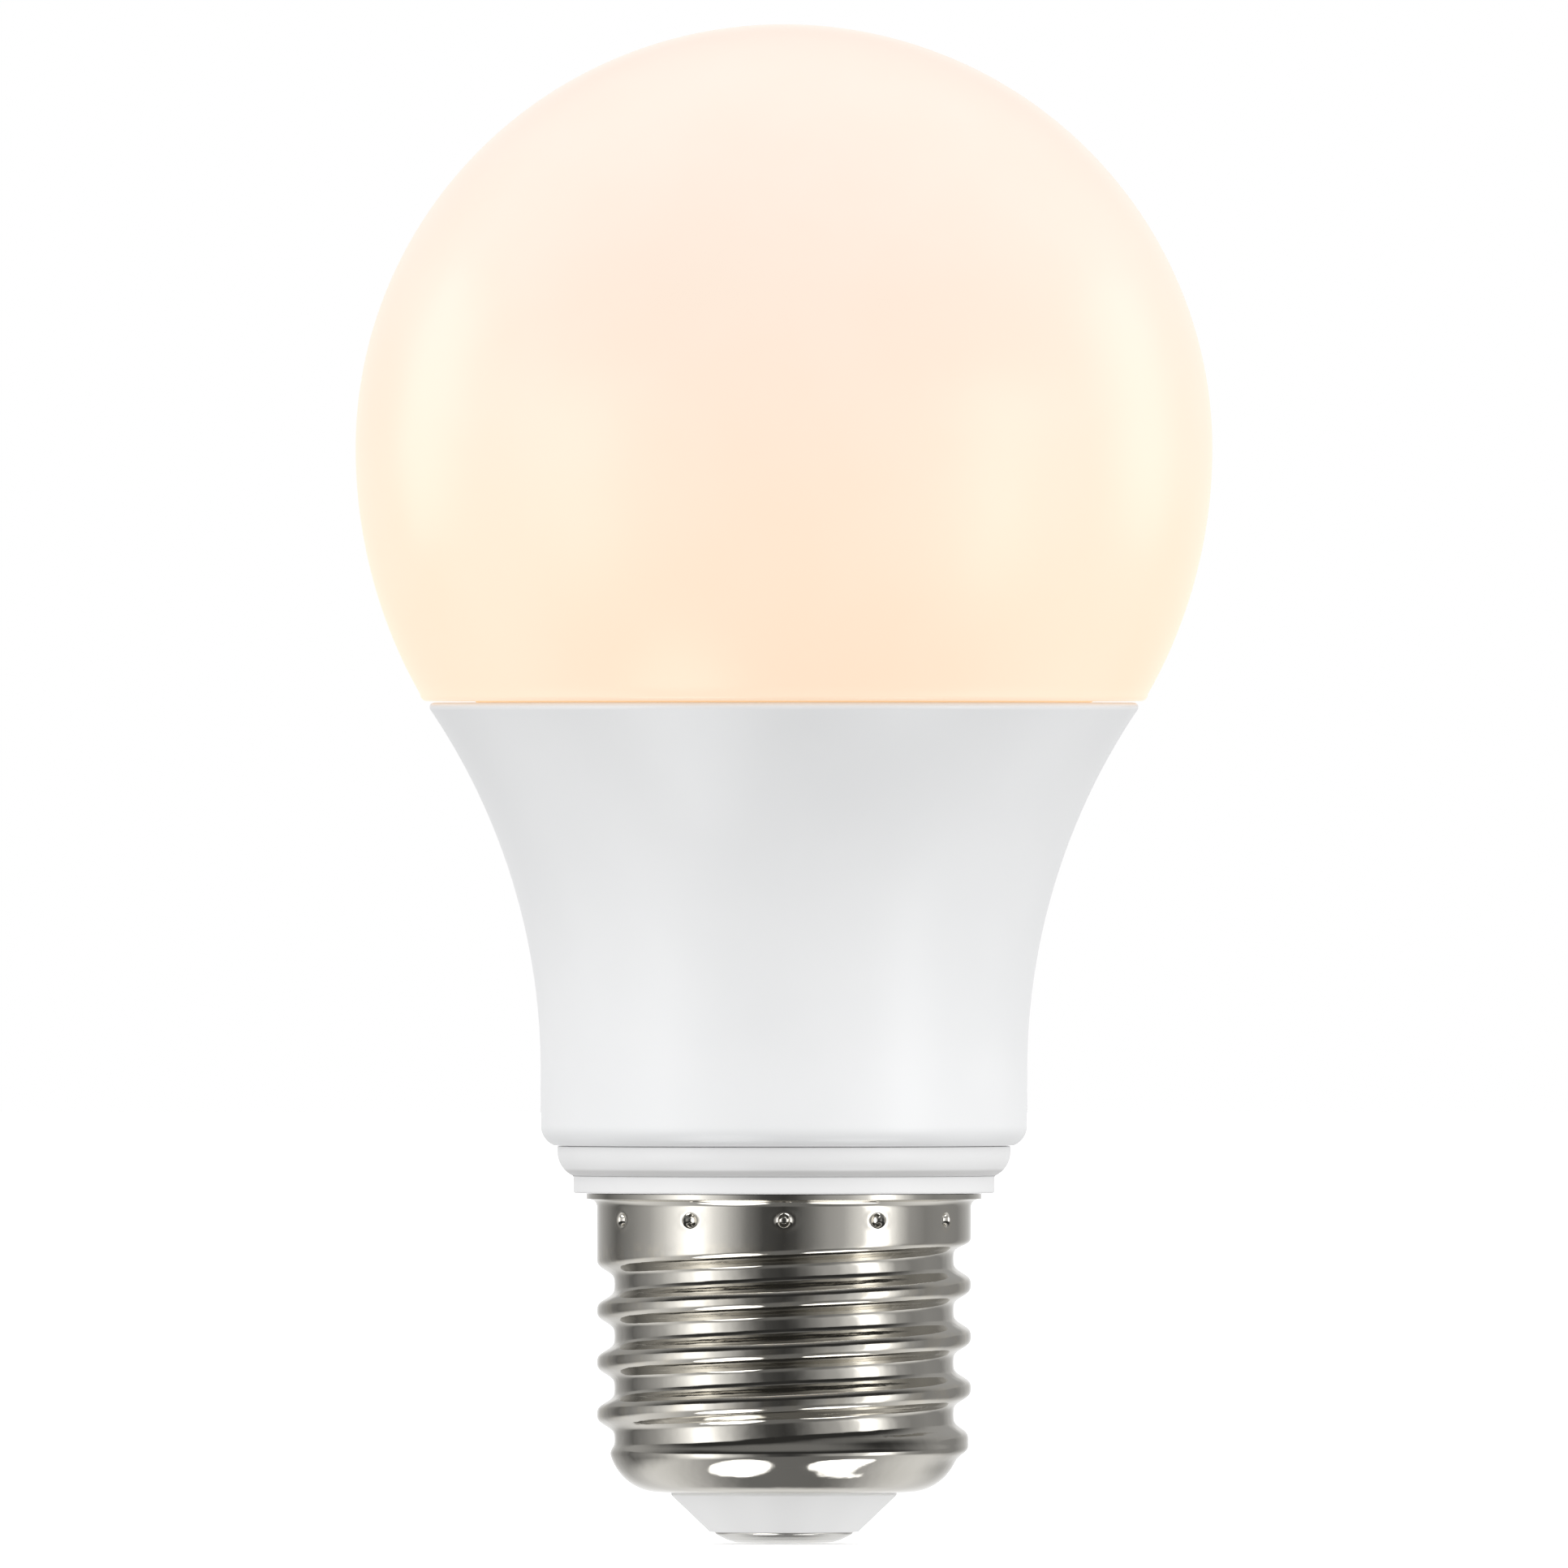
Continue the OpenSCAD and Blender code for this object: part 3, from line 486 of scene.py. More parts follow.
def make_nickel():
    """Bright nickel plate on rolled brass sheet: rolling lines, smears, and crests and marks
    rubbed a little brighter and warmer."""
    look = Finish("nickel plate", metal=1.0)
    rubbed = add(look.tree, "ShaderNodeAttribute", attribute_name="rubbed").outputs["Fac"]
    broken = smooth(look.tree, place_noise(look.tree, 700.0, 4.0, 0.6), 0.4, 0.65)
    worn = calc(look.tree, "MULTIPLY", rubbed, broken, clamp=True)
    plate = look.tone((0.71, 0.685, 0.63), (0.67, 0.645, 0.59), 120.0)
    look.feed("Base Color", look.mixed(worn, plate, (0.74, 0.70, 0.62, 1)))
    look.feed("Roughness", calc(look.tree, "ADD", look.handled(0.055, 0.04, 260.0),
                                product(look.tree, worn, 0.05)))
    lines = look.use(RINGS, {"Lines per metre": 9000.0, "Breaks": 4.0})[0]
    normal = look.bump(lines, 0.0000012)
    normal = look.bump(look.grain(1500.0, 1.0), 0.0000015, under=normal)
    # Slight waves that rolling leaves in the thread and not in the skirt above it
    threaded = smooth(look.tree, product(look.tree, spot_on(look.tree)[2], -1.0), -21.2 * MM,
                      -20.4 * MM)
    waves = product(look.tree, look.grain(420.0, 0.6), threaded)
    look.feed("Normal", look.bump(waves, 0.00003, under=normal))
    return look.material


opal = make_opal()
nickel = make_nickel()
white_housing = moulded("white housing plastic", (0.83, 0.835, 0.84), (0.80, 0.806, 0.812), 0.33,
                        grain=0.0000025, grain_scale=4200.0, specular=0.55)
# The cup's finish carries painted shade: a darker band round the crease under its ring
cup_plastic = moulded("white cup plastic", (0.84, 0.84, 0.84), (0.81, 0.81, 0.812), 0.36,
                      grain=0.000003, grain_scale=5200.0, crease=25.9)
base_plastic = moulded("white insulator", (0.93, 0.93, 0.925), (0.91, 0.91, 0.905), 0.34,
                       grain=0.000003, grain_scale=4400.0, spread=0.015)
contact_metal = moulded("contact metal", (0.80, 0.79, 0.76), (0.74, 0.73, 0.70), 0.20,
                        grain=0.000004, metal=1.0, lines=7000.0, wear=(0.80, 0.76, 0.68),
                        wear_amount=0.35)


# ---- Globe ----

def make_globe():
    edge_z = RIM_Z + SEAM_GAP
    inner_z = edge_z + GLOBE_WALL
    outer = globe_line(edge_z + GLOBE_EDGE, 0)
    corner = outer[-1]
    inner_r = GLOBE_SKIRT_R - GLOBE_SKIRT_WALL
    skirt = rounded([
        (corner[0] - GLOBE_EDGE, edge_z, 0), (GLOBE_SKIRT_R, edge_z, 0.2),
        (GLOBE_SKIRT_R, GLOBE_SKIRT_Z, 0.3), (inner_r, GLOBE_SKIRT_Z, 0.3),
        (inner_r, inner_z, 0.3), (globe_line(inner_z, GLOBE_WALL)[-1][0], inner_z, 0)])
    outline = (outer + arc((corner[0] - GLOBE_EDGE, corner[1]), GLOBE_EDGE, -20, -90, 6)[:-1]
               + skirt[:-1] + list(reversed(globe_line(inner_z, GLOBE_WALL, 48))))
    return piece("globe_shell", turned("globe_shell", outline), opal, "opal_globe", "globe")


# ---- Housing ----

def make_housing():
    hole_r = SLEEVE_R + 0.2
    floor_z = HOUSING_Z + 1
    centre = (WAIST_R - HOUSING_ROUND, HOUSING_Z + HOUSING_ROUND * 0.93)
    rim_r, rim_in = flare_r(RIM_Z), flare_r(RIM_Z, HOUSING_WALL)
    rim = rounded([(flare_r(RIM_Z - 0.9), RIM_Z - 0.9, 0), (rim_r, RIM_Z, 0.32),
                   (rim_in, RIM_Z, 0.25), (flare_r(RIM_Z - 0.9, HOUSING_WALL), RIM_Z - 0.9, 0)],
                  steps=5, support=0.1)
    outline = (
        rounded([(hole_r, floor_z, 0), (hole_r, HOUSING_Z, 0.2), (centre[0], HOUSING_Z, 0)])[1:-1]
        + arc(centre, HOUSING_ROUND, -math.degrees(math.asin(0.93)), 0, 14)
        + [(WAIST_R, z) for z in (29.5, 30, 31, 32, 32.8)]
        + flare_line(FLARE_Z, RIM_Z - 0.9, 0, 56)[:-1]
        + rim
        + list(reversed(flare_line(floor_z, RIM_Z - 0.9, HOUSING_WALL, 40)))[1:]
        + [(hole_r, floor_z)])
    return piece("housing_shell", turned("housing_shell", outline), white_housing,
                 "white_housing", "housing")


# ---- Driver cup ----

def add_block(bm, low, high, turn=0.0, bevel=0.12):
    """Adds a block with softened edges, turned about the axis by an angle in degrees."""
    corners = bmesh.ops.create_cube(bm, size=1.0)["verts"]
    size = [(b - a) * MM for a, b in zip(low, high)]
    middle = [(a + b) / 2 * MM for a, b in zip(low, high)]
    bmesh.ops.scale(bm, vec=size, verts=corners)
    bmesh.ops.translate(bm, vec=middle, verts=corners)
    edges = list({e for v in corners for e in v.link_edges})
    made = bmesh.ops.bevel(bm, geom=edges, offset=bevel * MM, segments=2, affect="EDGES",
                           profile=0.5)
    verts = list({v for v in corners if v.is_valid} | set(made["verts"]))
    bmesh.ops.rotate(bm, verts=verts, cent=(0, 0, 0),
                     matrix=Matrix.Rotation(math.radians(turn), 3, "Z"))


def make_cup():
    neck_in, sleeve_in = NECK_R - CUP_WALL, SLEEVE_R - CUP_WALL
    ring_top = HOUSING_Z - 0.04
    low = -math.degrees(math.asin((RING_Z - COLLAR_Z) / RING_BEND))
    slip_z = LIP_Z + 0.05
    belt = arc((RING_R - RING_BEND, RING_Z), RING_BEND, low, 0, 12)
    outline = (
        rounded([(neck_in, LIP_Z, 0), (neck_in, NECK_Z, 0.2), (NECK_R - 0.5, NECK_Z, 0.15),
                 (NECK_R, NECK_Z + 0.8, 0.2), (NECK_R, NECK_LAND_Z - 0.7, 0.2),
                 (NECK_LAND_R, NECK_LAND_Z, 0.2), (NECK_LAND_R, slip_z, 0.1),
                 (COLLAR_R, slip_z, 0.16), (COLLAR_R, COLLAR_Z, 0.1), (*belt[0], 0)])[:-1]
        + belt
        + rounded([(*belt[-1], 0), (RING_R, ring_top, 0.06), (SLEEVE_R, ring_top, 0.06),
                   (SLEEVE_R, SLEEVE_TOP, 0.25), (sleeve_in, SLEEVE_TOP, 0.25),
                   (sleeve_in, ring_top, 0.5), (neck_in, LIP_Z, 0)])[1:])
    bm = bmesh.new()
    add_turned(bm, outline[:-1], 160)
    for side in (0, 180):
        for gap in (-1, 1):
            inner, outer = sorted((gap * 0.75, gap * 1.75))
            for reach, low_z, high_z in ((sleeve_in, 28.4, 49.0), (neck_in, 12.0, 23.4)):
                add_block(bm, (reach - 1.7, inner, low_z), (reach + 0.4, outer, high_z), side)
        add_block(bm, (neck_in - 1.9, -1.75, 10.0), (neck_in + 0.5, 1.75, 11.0), side)
    face_outwards(bm)
    return piece("driver_cup_body", finish_mesh("driver_cup_body", bm), cup_plastic,
                 "cup_plastic", "driver_cup")


# ---- Screw cap ----

def thread_tree():
    """Geometry Nodes tree: gives a plain turned sheet its rolled thread and punch marks."""
    tree = bpy.data.node_groups.new("thread and punch marks", "GeometryNodeTree")
    sizes = [
        ("Crest Height", CREST_Z * MM), ("Pitch", PITCH * MM),
        ("Thread Depth", (CREST_R - ROOT_R) * MM), ("Flank", FLANK),
        ("Root Round", ROOT_ROUND), ("Middle", THREAD_MIDDLE * MM),
        ("Ridge Start", RIDGE_START), ("Ridge Fade", RIDGE_FADE), ("Fill End", FILL_END),
        ("Fill Fade", FILL_FADE), ("Groove End", GROOVE_END),
        ("Groove Fade", GROOVE_FADE), ("Thread Top", THREAD_TOP * MM),
        ("Top Blend", THREAD_TOP_BLEND * MM),
        ("Mark Count", float(PUNCH_COUNT)), ("Mark Height", PUNCH_Z * MM),
        ("Mark Depth", PUNCH_DEPTH * MM), ("Mark Radius", PUNCH_R * MM),
        ("Skirt Radius", CREST_R * MM)]
    sockets(tree, "INPUT", [("Sheet", "Geometry", None)])
    keys = sockets(tree, "INPUT", [(name, "Float", value) for name, value in sizes])
    keys.update(sockets(tree, "INPUT", [("Plating", "Material", None)]))
    sockets(tree, "OUTPUT", [("Cap", "Geometry", None)])
    given = add(tree, "NodeGroupInput").outputs

    spot = split(tree, add(tree, "GeometryNodeInputPosition").outputs[0])
    # Where a point lies in the thread, in turns: how far round, and how many ridges up
    turn = calc(tree, "FRACT", calc(tree, "DIVIDE", calc(tree, "ARCTAN2", spot[1], spot[0]),
                                    math.tau))
    turns = calc(tree, "SUBTRACT", calc(tree, "DIVIDE",
                 calc(tree, "SUBTRACT", spot[2], given["Crest Height"]), given["Pitch"]), turn)
    cosine = calc(tree, "COSINE", product(tree, turns, math.tau))
    level = calc(tree, "MULTIPLY_ADD", cosine, 0.5, 0.5)
    steep = calc(tree, "POWER", smooth(tree, level, 0.0, 1.0), given["Flank"])
    wave = blend(tree, given["Root Round"], steep, level)
    # The lowest ridge rises out of the foot, with no groove under it at first
    ridge_index = calc(tree, "ROUND", turns)
    ridge_turn = calc(tree, "ADD", ridge_index, turn)
    ridge_end = calc(tree, "ADD", given["Ridge Start"], given["Ridge Fade"])
    below = calc(tree, "SUBTRACT", ridge_index, turns)
    fill_start = calc(tree, "SUBTRACT", given["Fill End"], given["Fill Fade"])
    filled = product(tree, calc(tree, "GREATER_THAN", below, 0.0),
                     left_of(tree, smooth(tree, ridge_turn, fill_start, given["Fill End"])))
    low_wave = blend(tree, filled, wave, left_of(tree, smooth(tree, below, 0.0, 0.5)))
    ridge = product(tree, low_wave, smooth(tree, ridge_turn, given["Ridge Start"], ridge_end))
    # The top groove runs out into the plain skirt
    groove = calc(tree, "ADD", calc(tree, "ROUND", calc(tree, "SUBTRACT", turns, 0.5)), 0.5)
    groove_turn = calc(tree, "ADD", groove, turn)
    fade = calc(tree, "SUBTRACT", given["Groove End"], given["Groove Fade"])
    plain = smooth(tree, groove_turn, fade, given["Groove End"])
    hollow = product(tree, left_of(tree, wave), left_of(tree, plain))
    upper = calc(tree, "GREATER_THAN", spot[2], given["Middle"])
    share = blend(tree, upper, ridge, left_of(tree, hollow))
    top = calc(tree, "SUBTRACT", given["Thread Top"], given["Top Blend"])
    skirt = smooth(tree, spot[2], top, given["Thread Top"])
    share = left_of(tree, product(tree, left_of(tree, share), left_of(tree, skirt)))

    # Punch marks round the skirt: a dent, and the metal heaped up round it
    sector = calc(tree, "SUBTRACT", calc(tree, "FRACT", calc(
        tree, "ADD", product(tree, turn, given["Mark Count"]), 0.5)), 0.5)
    across = product(tree, calc(tree, "DIVIDE", sector, given["Mark Count"]),
                     product(tree, given["Skirt Radius"], math.tau))
    along = calc(tree, "SUBTRACT", spot[2], given["Mark Height"])
    away = calc(tree, "DIVIDE", distance(tree, across, along), given["Mark Radius"])
    dent = left_of(tree, smooth(tree, away, 0.34, 1.0))
    heap = product(tree, smooth(tree, away, 0.85, 1.2),
                   left_of(tree, smooth(tree, away, 1.2, 1.75)))
    marks = product(tree, given["Mark Depth"],
                    calc(tree, "SUBTRACT", product(tree, heap, HEAP_SHARE), dent))

    out = calc(tree, "ADD", product(tree, given["Thread Depth"], share), marks)
    outward = add(tree, "ShaderNodeVectorMath", {0: add(
        tree, "ShaderNodeCombineXYZ", {0: spot[0], 1: spot[1]}).outputs[0]},
        operation="NORMALIZE").outputs[0]
    offset = add(tree, "ShaderNodeVectorMath", {0: outward, "Scale": out},
                 operation="SCALE").outputs[0]
    moved = add(tree, "GeometryNodeSetPosition", {"Geometry": given["Sheet"], "Offset": offset})
    crest = product(tree, smooth(tree, share, 0.7, 1.0), left_of(tree, skirt))
    rubbed = calc(tree, "MAXIMUM", crest, heap)
    stored = add(tree, "GeometryNodeStoreNamedAttribute",
                 {"Geometry": moved.outputs[0], "Name": "rubbed", "Value": rubbed},
                 data_type="FLOAT", domain="POINT")
    finish_tree(tree, stored.outputs[0], given["Plating"])
    return tree, keys


def make_cap():
    depth = CREST_R - ROOT_R
    columns, gathered, thread_rows, mark_rows = 288, 0.8, 84, 22
    dome_end = -math.degrees(math.asin((DOME_Z - DOME_EDGE_Z) / DOME_R))
    lip_foot = LIP_Z - SHELL_WALL - LIP_BEND
    low_skirt, mark_low, mark_high = THREAD_TOP + 0.2, PUNCH_Z - 0.8, PUNCH_Z + 0.8
    outline = [(SHELL_HOLE_R, DOME_Z - DOME_R), (8.3, DOME_Z - DOME_R)]
    outline += arc((DOME_CENTRE_R, DOME_Z), DOME_R, -90, dome_end, 18)
    for i in range(1, thread_rows + 1):
        z = DOME_EDGE_Z + (THREAD_TOP - DOME_EDGE_Z) * i / thread_rows
        outline.append((foot_r(z), z))
    outline.append((ROOT_R, low_skirt))
    for i in range(mark_rows + 1):
        outline.append((ROOT_R, mark_low + (mark_high - mark_low) * i / mark_rows))
    outline += arc((ROOT_R + LIP_BEND, lip_foot), LIP_BEND, 180, 90, 8)
    outline.append((LIP_R - depth, LIP_Z - SHELL_WALL))
    angles = []
    for k in range(columns):
        a = math.tau * k / columns
        angles.append(a - gathered / PUNCH_COUNT * math.sin(PUNCH_COUNT * a))
    bm = bmesh.new()
    add_turned(bm, outline, closed=False, angles=angles)
    face_outwards(bm)
    outward = sum(f.normal.xy.dot(f.calc_center_median().xy) * f.calc_area() for f in bm.faces)
    if outward < 0:
        bmesh.ops.reverse_faces(bm, faces=bm.faces)
    sheet = placed("cap_sheet", finish_mesh("cap_sheet", bm, CAP_SHARP))
    tree, keys = thread_tree()
    roll = sheet.modifiers.new("rolled thread", "NODES")
    roll.node_group = tree
    roll[keys["Plating"]] = nickel
    wall = sheet.modifiers.new("sheet metal", "SOLIDIFY")
    wall.thickness = SHELL_WALL * MM
    wall.offset = -1
    wall.use_even_offset = True
    return piece("cap_shell", shaded(applied(sheet), CAP_SHARP), nickel, "nickel_cap",
                 "screw_shell")


def make_insulator():
    foot = DOME_Z - DOME_R + SHELL_WALL + 0.05
    outer = SHELL_HOLE_R - 0.05
    outline = rounded([
        (1.15, 0.72, 0.05), (5.2, 0.72, 0.12), (outer, 3.3, 0.1), (outer, foot, 0),
        (8.8, foot, 0.1), (8.8, foot + 1.2, 0.2), (4.1, foot + 1.2, 0.3), (2.6, 6.6, 0.2),
        (1.15, 6.6, 0.1)], closed=True)
    return piece("insulator_body", turned("insulator_body", outline, 160), base_plastic,
                 "base_plastic", "base_insulator")


def make_contact():
    rings = [(0.5, 0.0), (0.62, 0.05), (0.9, 0.05), (1.02, 0.0)]
    face = [(0, 0.04), (0.3, 0.03)] + rings
    edge = rounded([(2.2, 0, 0), (3.4, 0, 0.25), (4.0, 0.18, 0.2), (4.46, 0.4, 0.1),
                    (4.76, 0.57, 0.1), (4.86, 0.72, 0.04), (1.1, 0.72, 0.1), (1.1, 7.4, 0.25),
                    (0, 7.4, 0)])
    return piece("contact_pin", turned("contact_pin", face + edge, 128), contact_metal,
                 "contact_metal", "centre_contact")


make_globe()
make_housing()
make_cup()
make_cap()
make_insulator()
make_contact()


# ---- Finishes of the inner pieces ----

def marked(name, colour, second, rough, share, other, other_metal=0.0, **settings):
    """A moulded finish with another colour, metal or not, where the mesh's own mask says so."""
    material = moulded(name, colour, second, rough, **settings)
    tree = material.node_tree
    shader = next(n for n in tree.nodes if n.type == "BSDF_PRINCIPLED")
    mask = add(tree, "ShaderNodeAttribute", attribute_name=share).outputs["Fac"]
    body = shader.inputs["Base Color"].links[0].from_socket
    tree.links.new(blend_colours(tree, mask, body, (*other, 1)), shader.inputs["Base Color"])
    if other_metal:
        tree.links.new(blend(tree, mask, 0.0, other_metal), shader.inputs["Metallic"])
    return material


def make_board_look(name, mask_colour, track_colour, face_axis, scale):
    """Circuit board: lacquer over raised copper tracks, with bare laminate on its edges."""
    look = Finish(name, specular=0.5, coat=0.3)
    where = add(look.tree, "ShaderNodeTexCoord").outputs
    spot = split(look.tree, where["Object"])
    facing = split(look.tree, where["Normal"])[face_axis]
    flat = add(look.tree, "ShaderNodeCombineXYZ",
               {0: spot[0], 1: spot[1 if face_axis == 2 else 2]}).outputs[0]
    tracks = add(look.tree, "ShaderNodeTexBrick", {
        "Vector": flat, "Scale": scale, "Mortar Size": 0.035, "Mortar Smooth": 0.3,
        "Brick Width": 0.9, "Row Height": 0.22, "Bias": 0.1},
        offset=0.37, squash=0.7).outputs["Fac"]
    pads = add(look.tree, "ShaderNodeTexVoronoi", {"Vector": flat, "Scale": scale * 1.1},
               feature="DISTANCE_TO_EDGE").outputs["Distance"]
    copper_share = product(look.tree, left_of(look.tree, tracks),
                           smooth(look.tree, pads, 0.03, 0.06))
    lacquer = look.mixed(copper_share, (*mask_colour, 1), (*track_colour, 1))
    laminate = look.tone((0.62, 0.55, 0.33), (0.50, 0.43, 0.24), 900.0)
    face = smooth(look.tree, calc(look.tree, "ABSOLUTE", facing), 0.6, 0.8)
    look.feed("Base Color", look.mixed(face, laminate, lacquer))
    look.feed("Roughness", look.handled(0.32, 0.10, 300.0))
    raised = look.bump(copper_share, 0.00003)
    look.feed("Normal", look.bump(look.grain(9000.0, 0.3), 0.000003, under=raised))
    return look.material


silicone = moulded("white silicone", (0.80, 0.81, 0.80), (0.74, 0.75, 0.74), 0.45, specular=0.4)
aluminium = moulded("drawn aluminium", (0.80, 0.80, 0.81), (0.74, 0.74, 0.75), 0.34, metal=1.0,
                    grain=0.000006, lines=3500.0, wear=(0.88, 0.88, 0.89))
pad_rubber = moulded("thermal pad", (0.42, 0.47, 0.53), (0.36, 0.41, 0.47), 0.75, grain=0.00001,
                     grain_scale=2500.0, specular=0.3)
zinc = moulded("zinc-plated steel", (0.66, 0.68, 0.70), (0.60, 0.61, 0.60), 0.30, metal=1.0,
               lines=6000.0, wear=(0.80, 0.80, 0.79))
led_body_look = moulded("white led package", (0.86, 0.86, 0.83), (0.82, 0.82, 0.78), 0.38)
warm_phosphor = moulded("warm phosphor gel", (0.95, 0.58, 0.09), (0.88, 0.50, 0.06), 0.18,
                        grain=0.000008, grain_scale=14000.0, coat=0.5)
cool_phosphor = moulded("cool phosphor gel", (0.93, 0.83, 0.25), (0.87, 0.75, 0.18), 0.18,
                        grain=0.000008, grain_scale=14000.0, coat=0.5)
connector = moulded("natural connector plastic", (0.82, 0.79, 0.68), (0.77, 0.73, 0.61), 0.42)
black_plastic = moulded("black moulding compound", (0.022, 0.022, 0.024), (0.034, 0.034, 0.035),
                        0.48, grain=0.000006, grain_scale=7000.0, wear=(0.10, 0.10, 0.10))
gold = moulded("gold-plated pins", (0.93, 0.70, 0.32), (0.85, 0.62, 0.27), 0.26, metal=1.0,
               wear=(0.96, 0.80, 0.50))
tin = moulded("tin-plated can", (0.74, 0.74, 0.72), (0.66, 0.66, 0.65), 0.27, metal=1.0,
              grain=0.000005, grain_scale=3000.0, wear=(0.84, 0.84, 0.82))
copper = moulded("copper track", (0.88, 0.50, 0.32), (0.80, 0.42, 0.26), 0.33, metal=1.0,
                 grain=0.000004)
film_case = moulded("film capacitor case", (0.70, 0.47, 0.07), (0.63, 0.41, 0.05), 0.30,
                    grain=0.00001, grain_scale=1800.0, specular=0.6)
varistor_coat = moulded("dipped blue lacquer", (0.03, 0.10, 0.42), (0.02, 0.07, 0.33), 0.24,
                        grain=0.00003, grain_scale=900.0, coat=0.4)
resistor_coat = marked("resistor lacquer", (0.22, 0.42, 0.34), (0.17, 0.35, 0.28), 0.30, "band",
                       (0.36, 0.09, 0.03), grain=0.00001, grain_scale=1500.0)
sleeve_film = marked("shrunk sleeve", (0.03, 0.035, 0.06), (0.045, 0.05, 0.08), 0.25, "bare",
                     (0.72, 0.73, 0.75), other_metal=1.0, grain=0.000005, grain_scale=1500.0)
ferrite = moulded("ferrite", (0.050, 0.050, 0.054), (0.075, 0.074, 0.078), 0.62, grain=0.00001,
                  grain_scale=4000.0, wear=(0.16, 0.16, 0.16))
enamelled = moulded("enamelled copper wire", (0.72, 0.27, 0.10), (0.60, 0.20, 0.07), 0.24,
                    metal=1.0, coat=0.5)
tape = moulded("polyester tape", (0.82, 0.62, 0.07), (0.74, 0.54, 0.05), 0.28, grain=0.000012,
               grain_scale=700.0, coat=0.3)
ceramic = marked("chip ceramic", (0.50, 0.38, 0.24), (0.42, 0.31, 0.19), 0.45, "bare",
                 (0.74, 0.74, 0.73), other_metal=1.0)
film_black = marked("chip resistor glaze", (0.018, 0.018, 0.02), (0.03, 0.03, 0.032), 0.22, "bare",
                    (0.74, 0.74, 0.73), other_metal=1.0)
solder = moulded("solder", (0.72, 0.72, 0.71), (0.60, 0.60, 0.60), 0.28, metal=1.0,
                 grain=0.00001, grain_scale=2500.0)
red_sleeve = moulded("red insulation", (0.52, 0.025, 0.02), (0.42, 0.018, 0.016), 0.38,
                     grain=0.000006, grain_scale=3000.0)
tinned = moulded("tinned wire", (0.74, 0.74, 0.72), (0.66, 0.66, 0.65), 0.30, metal=1.0,
                 grain=0.000004)
green_board = make_board_look("green circuit board", (0.010, 0.085, 0.035),
                              (0.022, 0.15, 0.06), 1, 260.0)
blue_board = make_board_look("blue circuit board", (0.010, 0.025, 0.13),
                             (0.02, 0.05, 0.22), 1, 420.0)
white_board = make_board_look("white lacquered board", (0.80, 0.80, 0.79),
                              (0.86, 0.86, 0.85), 2, 150.0)


# ---- Plain inner pieces, with their edges softened ----

def softened(node, look, slot, width):
    """A copy of a CAD node with its edges rounded off by a width in millimetres."""
    bm = bmesh.new()
    bm.from_mesh(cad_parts[node].data)
    bmesh.ops.remove_doubles(bm, verts=bm.verts, dist=0.001 * MM)
    bmesh.ops.dissolve_limit(bm, angle_limit=math.radians(1), verts=bm.verts, edges=bm.edges)
    name = node + "_part"
    obj = placed(name, finish_mesh(name, bm))
    edge = obj.modifiers.new("soft edges", "BEVEL")
    edge.width = width * MM
    edge.segments = 2
    edge.limit_method = "ANGLE"
    edge.angle_limit = math.radians(35)
    edge.miter_outer = "MITER_ARC"
    mesh = shaded(applied(obj), 40)
    mesh.name = name
    return piece(name, mesh, look, slot, node)


for node, look, slot, width in [
    ("globe_seal", silicone, "silicone", 0.1),
    ("heat_sink", aluminium, "aluminium", 0.15),
    ("thermal_pad", pad_rubber, "thermal_pad", 0.05),
    ("led_board", white_board, "led_board", 0.06),
    ("led_board_socket", connector, "connector", 0.12),
    ("header_pins", gold, "gold_pin", 0.06),
    ("header_body", black_plastic, "black_plastic", 0.1),
    ("wireless_board", blue_board, "blue_board", 0.04),
    ("wireless_shield", tin, "tin_can", 0.15),
    ("wireless_chip", black_plastic, "black_plastic", 0.06),
    ("wireless_crystal", tin, "tin_can", 0.12),
    ("wireless_antenna", copper, "bright_copper", 0.015),
    ("wireless_pins", gold, "gold_pin", 0.06),
    ("driver_board", green_board, "green_board", 0.05),
    ("film_capacitor", film_case, "film_case", 0.5),
    ("varistor", varistor_coat, "varistor_coat", 0.7),
    ("bridge_rectifier", black_plastic, "black_plastic", 0.1),
    ("choke_core", ferrite, "ferrite", 0.12),
    ("transformer_core", ferrite, "ferrite", 0.15),
    ("transformer_bobbin", black_plastic, "black_plastic", 0.1),
    ("transformer_winding", tape, "winding_tape", 0.3),
    ("converter_chip", black_plastic, "black_plastic", 0.08),
    ("dimmer_chip", black_plastic, "black_plastic", 0.06),
    ("freewheel_diode", black_plastic, "black_plastic", 0.1),
]:
    softened(node, look, slot, width)


# ---- Repeated inner pieces ----

def copies_tree():
    """Geometry Nodes tree: a copy of a pattern at each place, turned as the place says."""
    tree = bpy.data.node_groups.new("copies at places", "GeometryNodeTree")
    sockets(tree, "INPUT", [("Places", "Geometry", None)])
    keys = sockets(tree, "INPUT", [("Pattern", "Object", None), ("Size", "Float", 1.0),
                                   ("Finish", "Material", None)])
    sockets(tree, "OUTPUT", [("Copies", "Geometry", None)])
    given = add(tree, "NodeGroupInput").outputs
    pattern = add(tree, "GeometryNodeObjectInfo", {"Object": given["Pattern"]}).outputs["Geometry"]
    turn = add(tree, "GeometryNodeInputNamedAttribute", {"Name": "turned"},
               data_type="FLOAT_VECTOR").outputs[0]
    size = add(tree, "ShaderNodeCombineXYZ",
               {0: given["Size"], 1: given["Size"], 2: given["Size"]}).outputs[0]
    put = add(tree, "GeometryNodeInstanceOnPoints",
              {"Points": given["Places"], "Instance": pattern, "Rotation": turn, "Scale": size})
    finish_tree(tree, put.outputs[0], given["Finish"])
    return tree, keys


